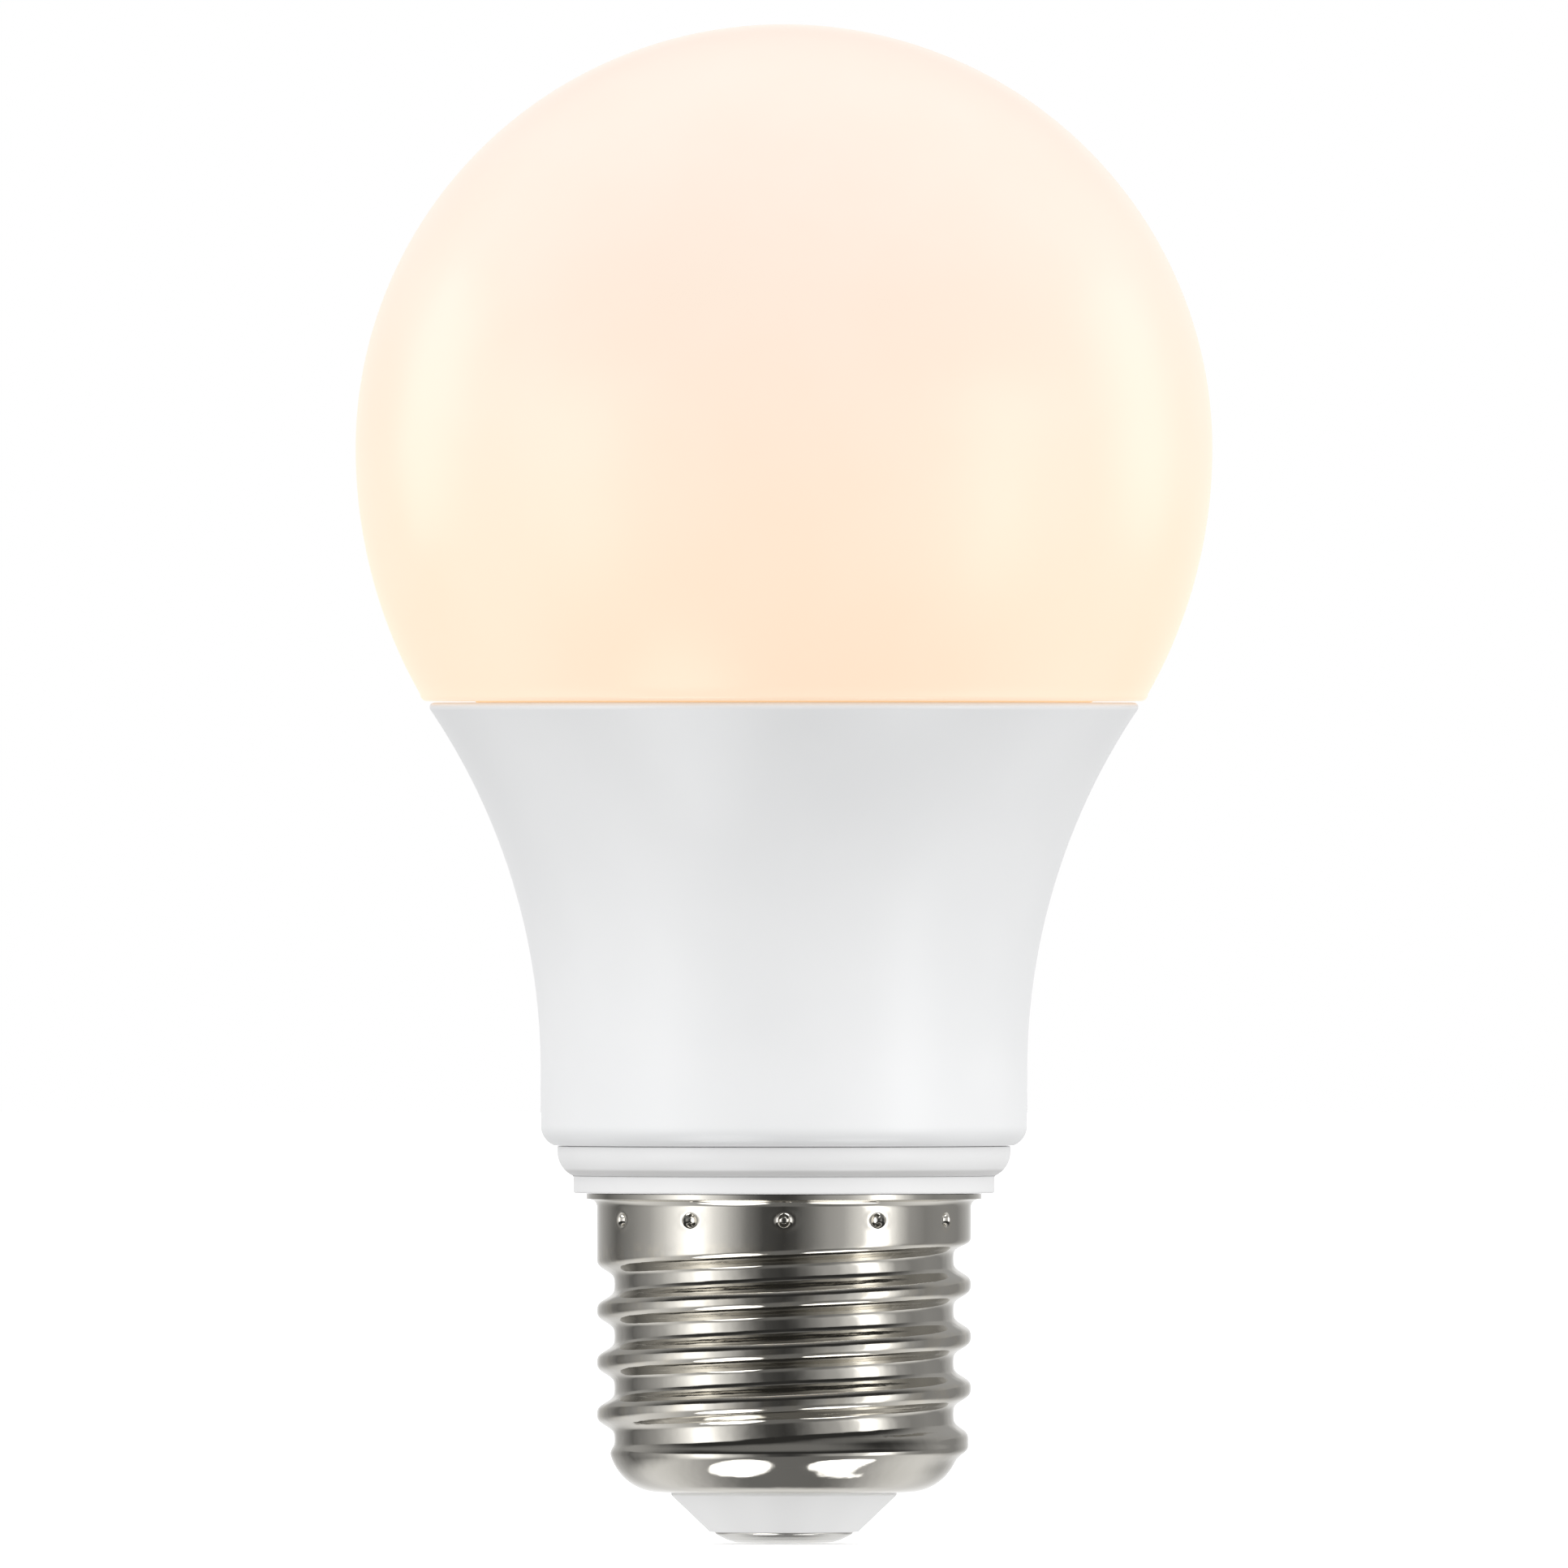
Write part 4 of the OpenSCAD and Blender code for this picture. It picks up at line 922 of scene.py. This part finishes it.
def wire_tree():
    """Geometry Nodes tree: a round wire along a line of points."""
    tree = bpy.data.node_groups.new("wire along a line", "GeometryNodeTree")
    sockets(tree, "INPUT", [("Line", "Geometry", None)])
    keys = sockets(tree, "INPUT", [("Radius", "Float", 0.3 * MM), ("Sides", "Int", 12),
                                   ("Finish", "Material", None)])
    sockets(tree, "OUTPUT", [("Wire", "Geometry", None)])
    given = add(tree, "NodeGroupInput").outputs
    line = add(tree, "GeometryNodeMeshToCurve", {0: given["Line"]}).outputs[0]
    hoop = add(tree, "GeometryNodeCurvePrimitiveCircle",
               {"Resolution": given["Sides"], "Radius": given["Radius"]}).outputs[0]
    swept = add(tree, "GeometryNodeCurveToMesh",
                {"Curve": line, "Profile Curve": hoop, "Fill Caps": True})
    finish_tree(tree, swept.outputs[0], given["Finish"])
    return tree, keys


COPIES, COPIES_KEYS = copies_tree()
WIRE, WIRE_KEYS = wire_tree()


def grown(name, mesh, tree, keys, **values):
    """The mesh that a tree grows from a mesh, with the tree's inputs set by name."""
    obj = placed(name, mesh)
    modifier = obj.modifiers.new(name, "NODES")
    modifier.node_group = tree
    for key, value in values.items():
        modifier[keys[key]] = value
    grown_mesh = applied(obj)
    grown_mesh.name = name
    bm = bmesh.new()
    bm.from_mesh(grown_mesh)
    face_outwards(bm)
    return finish_mesh(name, bm)


def copies(name, pattern, places, look, slot, *stands_for):
    """Copies of a mesh at places (x, y, z) in millimetres with (x, y, z) turns in degrees."""
    holder = placed(name + "_pattern", pattern)
    points = bpy.data.meshes.new(name)
    points.from_pydata([[v * MM for v in place[:3]] for place in places], [], [])
    turned_by = points.attributes.new("turned", "FLOAT_VECTOR", "POINT")
    for row, place in zip(turned_by.data, places):
        row.vector = [math.radians(a) for a in place[3:]]
    mesh = grown(name, points, COPIES, COPIES_KEYS, Pattern=holder, Finish=look)
    bpy.data.objects.remove(holder)
    return piece(name, mesh, look, slot, *stands_for)


def wire_mesh(name, lines, radius, look, sides=12):
    """Wires of one radius along lines of points, as one mesh."""
    verts, edges = [], []
    for line in lines:
        start = len(verts)
        verts += [[v * MM for v in p] for p in line]
        edges += [(start + i, start + i + 1) for i in range(len(line) - 1)]
    mesh = bpy.data.meshes.new(name)
    mesh.from_pydata(verts, edges, [])
    return grown(name, mesh, WIRE, WIRE_KEYS, Radius=radius * MM, Sides=sides, Finish=look)


def joined(name, meshes):
    """Several meshes as one."""
    bm = bmesh.new()
    for mesh in meshes:
        bm.from_mesh(mesh)
    return finish_mesh(name, bm)


def moved(mesh, x, y, z):
    mesh.transform(Matrix.Translation((x * MM, y * MM, z * MM)))
    return mesh


def masked(mesh, name, share):
    """Stores a mask on the mesh's points: share takes a point in millimetres."""
    layer = mesh.attributes.new(name, "FLOAT", "POINT")
    for row, vert in zip(layer.data, mesh.vertices):
        row.value = share(*(vert.co / MM))
    return mesh


# LEDs, each with its phosphor in a round pocket
LED_SIZE, LED_TOP, LED_RING_R, LED_COUNT = (2.8, 3.5, 0.8), 56.4, 16.8, 20
POCKET_R, PHOSPHOR_T = 1.15, 0.25


def led_mesh():
    """One package: a softened block with a round pocket and a clipped corner that marks its
    cathode."""
    bm = bmesh.new()
    sides = 32
    half_x, half_y, tall = LED_SIZE[0] / 2, LED_SIZE[1] / 2, LED_SIZE[2]
    edge = 0.08

    def square(inset, z, clip):
        row = []
        for k in range(sides):
            a = math.tau * (k + 0.5) / sides
            c, s = math.cos(a), math.sin(a)
            reach = 1 / max(abs(c) / (half_x - inset), abs(s) / (half_y - inset))
            x, y = c * reach, s * reach
            cut = max(0.0, x + y - (half_x + half_y - inset - clip))
            row.append(bm.verts.new(((x - cut / 2) * MM, (y - cut / 2) * MM, z * MM)))
        return row

    def circle(r, z):
        return [bm.verts.new((r * MM * math.cos(math.tau * (k + 0.5) / sides),
                              r * MM * math.sin(math.tau * (k + 0.5) / sides), z * MM))
                for k in range(sides)]

    rows = [square(0.05, 0, 0.5), square(0, 0.05, 0.5), square(0, tall - edge, 0.5),
            square(edge, tall, 0.5), circle(POCKET_R + 0.03, tall),
            circle(POCKET_R, tall - 0.03), circle(POCKET_R, tall - PHOSPHOR_T)]
    for low, high in zip(rows, rows[1:]):
        for k in range(sides):
            n = (k + 1) % sides
            bm.faces.new([low[k], low[n], high[n], high[k]])
    bm.faces.new(list(reversed(rows[0])))
    bm.faces.new(rows[-1])
    face_outwards(bm)
    return finish_mesh("led", bm, 30)


def phosphor_mesh():
    r, t = POCKET_R - 0.02, PHOSPHOR_T - 0.03
    return turned("phosphor", [(0, 0), (r, 0), (r, t - 0.01), (r * 0.85, t - 0.035),
                               (r * 0.45, t - 0.06), (0, t - 0.065)], 32, 60)


def ring_places(count, r, z, first=0.0):
    places = []
    for i in range(count):
        a = first + 360 / count * i
        places.append((r * math.cos(math.radians(a)), r * math.sin(math.radians(a)), z, 0, 0, a))
    return places


floor_of_pocket = LED_TOP + LED_SIZE[2] - PHOSPHOR_T
for kind, first, gel in (("warm", 0, warm_phosphor), ("cool", 360 / LED_COUNT, cool_phosphor)):
    copies(kind + "_led_packages", led_mesh(),
           ring_places(LED_COUNT // 2, LED_RING_R, LED_TOP, first), led_body_look, "led_package",
           kind + "_leds")
    copies(kind + "_led_phosphors", phosphor_mesh(),
           ring_places(LED_COUNT // 2, LED_RING_R, floor_of_pocket, first), gel,
           kind + "_phosphor", kind + "_phosphors")


def screw_mesh():
    """A pan-head screw with a cross recess and its thread."""
    outline = [(0, -5.4), (0.7, -5.4), (1.0, -5.1)]
    turns_of_thread, lead = 9, 0.5
    for i in range(turns_of_thread):
        z = -5.0 + lead * i
        outline += [(1.0, z), (1.25, z + 0.2), (1.25, z + 0.25), (1.0, z + 0.45)]
    outline += [(1.0, -0.35), (1.22, -0.02), (1.22, 0.0)]
    outline += rounded([(1.22, 0, 0), (2.1, 0, 0.12), (2.02, 0.6, 0.3), (1.68, 1.4, 0.35),
                        (0, 1.4, 0)])[1:]
    head = placed("screw_body", turned("screw_body", outline, 48, 40))
    bm = bmesh.new()
    for turn in (0, 90):
        add_block(bm, (-1.25, -0.33, 0.72), (1.25, 0.33, 2.4), turn, 0.05)
    cross = placed("screw_cross", finish_mesh("screw_cross", bm))
    cut = head.modifiers.new("cross recess", "BOOLEAN")
    cut.operation = "DIFFERENCE"
    cut.use_self = True
    cut.object = cross
    mesh = applied(head)
    bpy.data.objects.remove(cross)
    return mesh


copies("board_screws", screw_mesh(), ring_places(3, 12.4, LED_TOP, 30), zinc, "zinc_screw",
       "led_board_screws")

# Chip resistors and capacitors, with bare metal at both ends. Places are (x, z) on the board
BOARD_FACE = 0.6
RESISTORS = [(-10.6, 29.6), (-10.6, 33), (-10.6, 36.4), (-4.8, 30.5), (-4.8, 34), (8, 46),
             (10.4, 46), (2.6, 25), (6, 25)]
CAPACITORS = [(-8.6, 46.6), (-5.6, 46.6), (10.8, 36.2), (8.2, 36.2), (-1.8, 15.4)]


def chip_mesh(tall):
    bm = bmesh.new()
    add_block(bm, (-0.6, 0.02, -0.68), (0.6, tall - 0.03, 0.68), 0, 0.04)
    for low, high in ((-1.0, -0.62), (0.62, 1.0)):
        add_block(bm, (-0.625, 0, low), (0.625, tall, high), 0, 0.08)
    mesh = finish_mesh("chip", bm)
    return masked(mesh, "bare", lambda x, y, z: float(abs(z) > 0.6 and not (
        abs(x) < 0.601 and abs(z) < 0.69 and 0.01 < y < tall - 0.02)))


copies("chip_resistor_row", chip_mesh(0.5), [(x, BOARD_FACE, z, 0, 0, 0) for x, z in RESISTORS],
       film_black, "chip_ceramic", "chip_resistors")
copies("chip_capacitor_row", chip_mesh(0.9), [(x, BOARD_FACE, z, 0, 0, 0) for x, z in CAPACITORS],
       ceramic, "chip_ceramic", "chip_capacitors")

# Solder joints: a fillet of solder round the end of each leg
CHIP_SIDE = [(-1.25, 12.2), (1.25, 12.2), (-1.75, 26.8), (0.75, 26.8), (-7.2, 30), (-7.2, 35.8),
             (6.4, 30.4), (6.4, 37.2), (-3, 36.1), (3, 36.1)]
TALL_SIDE = [(6.9, 24.4), (-7.4, 24.4), (6.9, 20.8), (-7.4, 20.8)]


def joint_mesh():
    outline = [(0, 0), (0.7, 0), (0.69, 0.05), (0.55, 0.12), (0.42, 0.24), (0.34, 0.38),
               (0.3, 0.46), (0.2, 0.5), (0, 0.5)]
    return turned("solder_joint", outline, 24, 60)


copies("solder_fillets", joint_mesh(),
       [(x, BOARD_FACE, z, -90, 0, 0) for x, z in CHIP_SIDE]
       + [(x, -BOARD_FACE, z, 90, 0, 0) for x, z in TALL_SIDE],
       solder, "solder", "solder_joints")


# ---- Driver parts with turned bodies and wire ----

def can(name, node, x, y, z, r, h):
    """Capacitor can in its shrunk sleeve, with a rolled groove, a scored top and two legs."""
    body = turned(name, rounded([
        (0, 0, 0), (r - 0.35, 0, 0.05), (r, 0.3, 0.1), (r, 1.1, 0.15), (r - 0.32, 1.55, 0.25),
        (r, 2.0, 0.15), (r, h - 0.1, 0.3), (r - 0.75, h, 0.12), (r - 1.0, h - 0.12, 0.08),
        (0, h - 0.12, 0)], steps=5, support=0.06), 96, 40)
    masked(body, "bare", lambda px, py, pz: float(
        (pz > h - 0.16 and math.hypot(px, py) < r - 0.7)
        or (abs(math.atan2(px, -py)) < 0.32 and 2.2 < pz < h - 0.5) or pz < 0.02))
    moved(body, x, y, z)
    legs = []
    for side in (-1.25, 1.25):
        route = [(y, 0.05), (y, -0.6), (y + 0.12, -0.76), (y + 0.35, -0.8), (-BOARD_FACE, -0.8)]
        legs.append([(x + side, along, z + up) for along, up in route])
    wires = masked(wire_mesh(name + "_legs", legs, 0.3, tinned), "bare", lambda *_: 1.0)
    return piece(name, joined(name, [body, wires]), sleeve_film, "can_sleeve", node)


can("bulk_can", "bulk_capacitor", 0, -5.1, 13, 4, 12)
can("output_can", "output_capacitor", -0.5, -4.4, 27.6, 3.15, 9.6)


def make_fuse():
    """Wire-wound resistor with swollen ends, colour bands and bent leads."""
    x, y, low, tall = 4.6, 3.8, 13.2, 7.0
    bands = (1.0, 2.4, 3.3, 4.2, 6.1)
    body = turned("fuse_body",
        [(0, 0), (0.9, 0.0), (1.2, 0.08), (1.4, 0.3), (1.49, 0.6), (1.5, 0.9), (1.48, 1.3)]
        + [(1.36 + 0.02 * math.cos(i * 1.3), 1.7 + 3.6 * i / 36) for i in range(37)]
        + [(1.48, 5.7), (1.5, 6.1), (1.49, 6.4), (1.4, 6.7), (1.2, 6.92), (0.9, 7.0), (0, 7.0)],
        64, 50)
    masked(body, "band", lambda *p: float(any(abs(p[2] - b) < 0.22 for b in bands)))
    moved(body, x, y, low)
    leads = wire_mesh("fuse_leads", [
        [(x, y, 12.0), (x, y, low + 0.1)],
        [(x, y, low + tall - 0.1), (x, y, 20.7), (x, y - 0.1, 20.9), (x, y - 0.4, 21.0),
         (x, BOARD_FACE, 21.0)]], 0.3, tinned)
    return piece("fuse_resistor_part", joined("fuse_resistor_part", [body, leads]), resistor_coat,
                 "resistor_coat", "fuse_resistor")


make_fuse()


def make_choke_winding():
    """Two layers of enamelled wire, wound up and back, with both ends led to the board."""
    x, y, low, high, r = 6.4, -4.5, 29.65, 34.75, 0.17
    layers = []
    for inner, start, end in ((2.26, low + r, high - r), (2.63, high - r, low + r)):
        count = int((high - low - 2 * r) / (2 * r))
        steps = count * 24
        layers.append([(x + inner * math.cos(math.tau * i / 24), y + inner * math.sin(
            math.tau * i / 24), start + (end - start) * i / steps) for i in range(steps + 1)])
    turns_of_wire = wire_mesh("choke_turns", layers, r, enamelled, 8)
    core = moved(turned("choke_inner", [(1.65, 0), (2.15, 0), (2.15, 5.1), (1.65, 5.1)], 48), x, y,
                 low)
    ends = wire_mesh("choke_ends", [[(x, -1.95, z), (x, -BOARD_FACE, z)] for z in (30.4, 34.0)],
                     0.3, tinned)
    return piece("choke_turns_of_wire", joined("choke_turns_of_wire", [turns_of_wire, core, ends]),
                 enamelled, "copper_winding", "choke_winding")


make_choke_winding()


def smooth_line(points):
    """A smooth line through given points."""
    steps = 6
    line = []
    last = len(points) - 1
    for i in range(last):
        a, b, c, d = (Vector(points[min(max(k, 0), last)]) for k in (i - 1, i, i + 1, i + 2))
        for s in range(steps):
            t = s / steps
            line.append(0.5 * (2 * b + (c - a) * t + (2 * a - 5 * b + 4 * c - d) * t * t
                               + (3 * b - 3 * c + d - a) * t ** 3))
    return line + [Vector(points[-1])]


LIVE = [(4.6, 3.8, 12), (4.5, 3.7, 10.8), (3.6, 2.8, 9.6), (1.9, 1.4, 8.9), (0.6, 0.3, 8.7),
        (0, 0, 8.3), (0, 0, 7.9), (0, 0, 7.5)]
NEUTRAL = [(-7.2, 1.2, 13), (-7.3, 1.3, 11.2), (-7.9, 1.1, 9.2), (-8.9, 0.6, 8.1),
           (-10, 0.2, 7.8), (-10.9, 0, 8.2), (-11.2, 0, 9.2), (-11.25, 0, 11), (-11.25, 0, 14),
           (-11.25, 0, 17)]
piece("live_lead", wire_mesh("live_lead", [smooth_line(LIVE)], 0.75, red_sleeve, 20), red_sleeve,
      "red_insulation", "live_wire")
piece("neutral_lead", wire_mesh("neutral_lead", [smooth_line(NEUTRAL)], 0.25, tinned, 14), tinned,
      "tinned_wire", "neutral_wire")


# ---- Floor, light and camera ----

# Metres here. The floor lies just under the contact and glows a little, to come out near white
FLOOR_HALF, FLOOR_DROP, FLOOR_GLOW = 6.0, 0.0001, 0.30
# The very long lens keeps level edges straight across the picture
CAMERA_AWAY, CAMERA_HEIGHT, LENS, SENSOR, SEEN_TO = 4.575, 0.0531, 1500, 36, 60
# The soft boxes beside the globe: (side, power in watts), their angle from the front, and size
BOXES, BOX_ANGLE, BOX_SIZE = ((-1, 0.30), (1, 0.27)), 110, (0.22, 0.34)
BOX_AIM, BOX_RISE, BOX_AWAY = (0, 0, 0.085), 0.12, 0.5


def make_floor():
    bm = bmesh.new()
    bmesh.ops.create_grid(bm, x_segments=1, y_segments=1, size=FLOOR_HALF)
    mesh = finish_mesh("floor", bm)
    floor = placed("floor", mesh)
    floor.location.z = -FLOOR_DROP
    look = Finish("pale floor", specular=0.0)
    look.feed("Base Color", look.tone((0.93, 0.93, 0.93), (0.92, 0.92, 0.92), 4.0))
    look.shader.inputs["Roughness"].default_value = 0.9
    look.shader.inputs["Emission Color"].default_value = (1, 1, 1, 1)
    look.shader.inputs["Emission Strength"].default_value = FLOOR_GLOW
    mesh.materials.append(look.material)
    floor.visible_glossy = False
    floor.visible_diffuse = False


# Brightness of the studio all round, seen in a mirror: (azimuth from the camera, brightness)
STUDIO = [
    (-180, 1.0), (-157, 0.50), (-127, 0.15), (-108, 0.30), (-92, 0.48), (-80, 0.80), (-73, 1.1),
    (-66, 1.5), (-60, 1.9), (-55, 2.0), (-50, 1.5), (-44, 1.05), (-33, 0.58), (-23, 0.23),
    (-13, 0.08), (0, 0.05), (7, 0.08), (17, 0.21), (27, 0.40), (37, 0.50),
    (50, 1.0), (54, 2.0), (59, 2.6), (65, 2.3), (70, 1.3), (76, 0.8), (84, 0.40), (98, 0.27),
    (115, 0.31), (136, 0.28), (157, 0.55), (180, 1.0)]
STUDIO_PEAK = 2.6
# Bands above, by the upward part of the way they are seen along: (first, full, brightness in
# front, how much brighter behind)
HIGH_BANDS = ((0.20, 0.34, 0.035, 0.36), (0.66, 0.90, 0.20, 0.26))
BEHIND = (-0.3, 0.6)
# Below, by the facing of a mirror that shows it to the camera: brightness in the middle, how
# much brighter to the sides and where, and then nearly underneath, and where
LOW_BAND, LOW_MIDDLE, LOW_MORE, LOW_ASIDE = (0.30, 0.62), 0.18, 0.68, (0.2, 0.8)
UNDER, UNDER_LEAN = 0.85, (0.86, 0.93)
# The two low lamps, by the same facing:
# (sine of its azimuth, half width, cube of its downward lean, half height)
OVALS = ((-0.267, 0.18, 0.2115, 0.157), (0.315, 0.18, 0.255, 0.10))
OVAL_EDGE, OVAL_BRIGHTNESS = (-1.25, -0.75), 2.4
# Light on matt surfaces: its level, and what it gains above, behind and to the right, and loses
# below
SOFT, SOFT_UP, SOFT_UP_TO, SOFT_BEHIND, SOFT_RIGHT = 1.29, 0.61, 0.5, 0.25, 0.02
SOFT_UNDER, SOFT_UNDER_BAND = -0.24, (0.5, 1.0)


def make_world():
    world = bpy.data.worlds.new("studio")
    bpy.context.scene.world = world
    world.use_nodes = True
    world.cycles.sampling_method = "NONE"
    tree = world.node_tree
    tree.nodes.clear()
    way = split(tree, add(tree, "ShaderNodeTexCoord").outputs["Generated"])
    azimuth = calc(tree, "ARCTAN2", way[0], product(tree, way[1], -1.0))
    place = calc(tree, "ADD", calc(tree, "DIVIDE", azimuth, math.tau), 0.5)
    ring = add(tree, "ShaderNodeValToRGB", {0: place})
    stops = ring.color_ramp.elements
    stops[0].position, stops[1].position = 0.0, 1.0
    for angle, _ in STUDIO[1:-1]:
        stops.new(angle / 360 + 0.5)
    for stop, (_, value) in zip(stops, STUDIO):
        stop.color = (value / STUDIO_PEAK,) * 3 + (1,)
    level = product(tree, ring.outputs[0], STUDIO_PEAK)
    behind = smooth(tree, way[1], *BEHIND)
    for low, high, value, more in HIGH_BANDS:
        tone = calc(tree, "MULTIPLY_ADD", behind, more, value)
        level = blend(tree, smooth(tree, way[2], low, high), level, tone)

    # Which way a mirror faces when it shows this part of the studio to the camera. The two
    # roots hold a little more than they need, so neither can be 0
    size = calc(tree, "SQRT", calc(tree, "MULTIPLY_ADD", way[1], -2.0, 2.0001))
    face_x, face_z = (calc(tree, "DIVIDE", way[i], size) for i in (0, 2))
    drop = product(tree, face_z, -1.0)
    upright = calc(tree, "SQRT", calc(tree, "MULTIPLY_ADD", face_z, drop, 1.0001))
    aside = calc(tree, "DIVIDE", face_x, upright)
    sides = smooth(tree, calc(tree, "ABSOLUTE", aside), *LOW_ASIDE)
    tone = calc(tree, "MULTIPLY_ADD", sides, LOW_MORE, LOW_MIDDLE)
    tone = blend(tree, smooth(tree, drop, *UNDER_LEAN), tone, UNDER)
    down = product(tree, way[2], -1.0)
    level = blend(tree, smooth(tree, down, *LOW_BAND), level, tone)

    # Two low lamps, laid out so that the cap's dome shows each one as an oval
    cubed = calc(tree, "POWER", calc(tree, "MAXIMUM", drop, 0.0), 3.0)
    lamps = 0.0
    for middle, half_width, lean, half_lean in OVALS:
        wide, tall = (
            calc(tree, "POWER", calc(tree, "DIVIDE", calc(tree, "SUBTRACT", value, at), half), 2.0)
            for value, at, half in ((aside, middle, half_width), (cubed, lean, half_lean)))
        spread = product(tree, calc(tree, "ADD", wide, tall), -1.0)
        lamps = calc(tree, "ADD", lamps, smooth(tree, spread, *OVAL_EDGE))
    mirror = calc(tree, "ADD", level, product(tree, lamps, OVAL_BRIGHTNESS))

    soft = calc(tree, "MULTIPLY_ADD", calc(tree, "MINIMUM", way[2], SOFT_UP_TO), SOFT_UP, SOFT)
    for part, gain in ((way[1], SOFT_BEHIND), (smooth(tree, down, *SOFT_UNDER_BAND), SOFT_UNDER),
                       (way[0], SOFT_RIGHT)):
        soft = calc(tree, "MULTIPLY_ADD", part, gain, soft)
    path = add(tree, "ShaderNodeLightPath").outputs
    fill = blend(tree, path["Is Glossy Ray"], soft, mirror)
    seen = blend(tree, path["Is Camera Ray"], fill, 1.0)
    back = add(tree, "ShaderNodeBackground", {"Color": seen, "Strength": 1.0})
    add(tree, "ShaderNodeOutputWorld", {"Surface": back.outputs[0]})


def make_camera():
    data = bpy.data.cameras.new("camera")
    data.lens, data.sensor_width = LENS, SENSOR
    data.clip_end = SEEN_TO
    camera = placed("camera", data)
    camera.location = (0, -CAMERA_AWAY, CAMERA_HEIGHT)
    camera.rotation_euler = (math.pi / 2, 0, 0)
    bpy.context.scene.camera = camera


def make_side_lights():
    """Two tall soft boxes beside the globe. They light only the globe."""
    lit = bpy.data.collections.new("lit by the side boxes")
    lit.objects.link(bpy.data.objects["globe_shell"])
    middle = Vector(BOX_AIM)
    angle = math.radians(BOX_ANGLE)
    for side, power in BOXES:
        data = bpy.data.lights.new("side box", "AREA")
        data.shape = "RECTANGLE"
        data.size, data.size_y = BOX_SIZE
        data.energy = power
        light = placed("side box", data)
        way = Vector((side * math.sin(angle), -math.cos(angle), BOX_RISE))
        light.location = middle + way * BOX_AWAY
        light.rotation_euler = (light.location - middle).to_track_quat("Z", "Y").to_euler()
        light.visible_camera = False
        light.light_linking.receiver_collection = lit


make_floor()
make_world()
make_side_lights()
make_camera()
bpy.context.scene.view_settings.view_transform = "Standard"
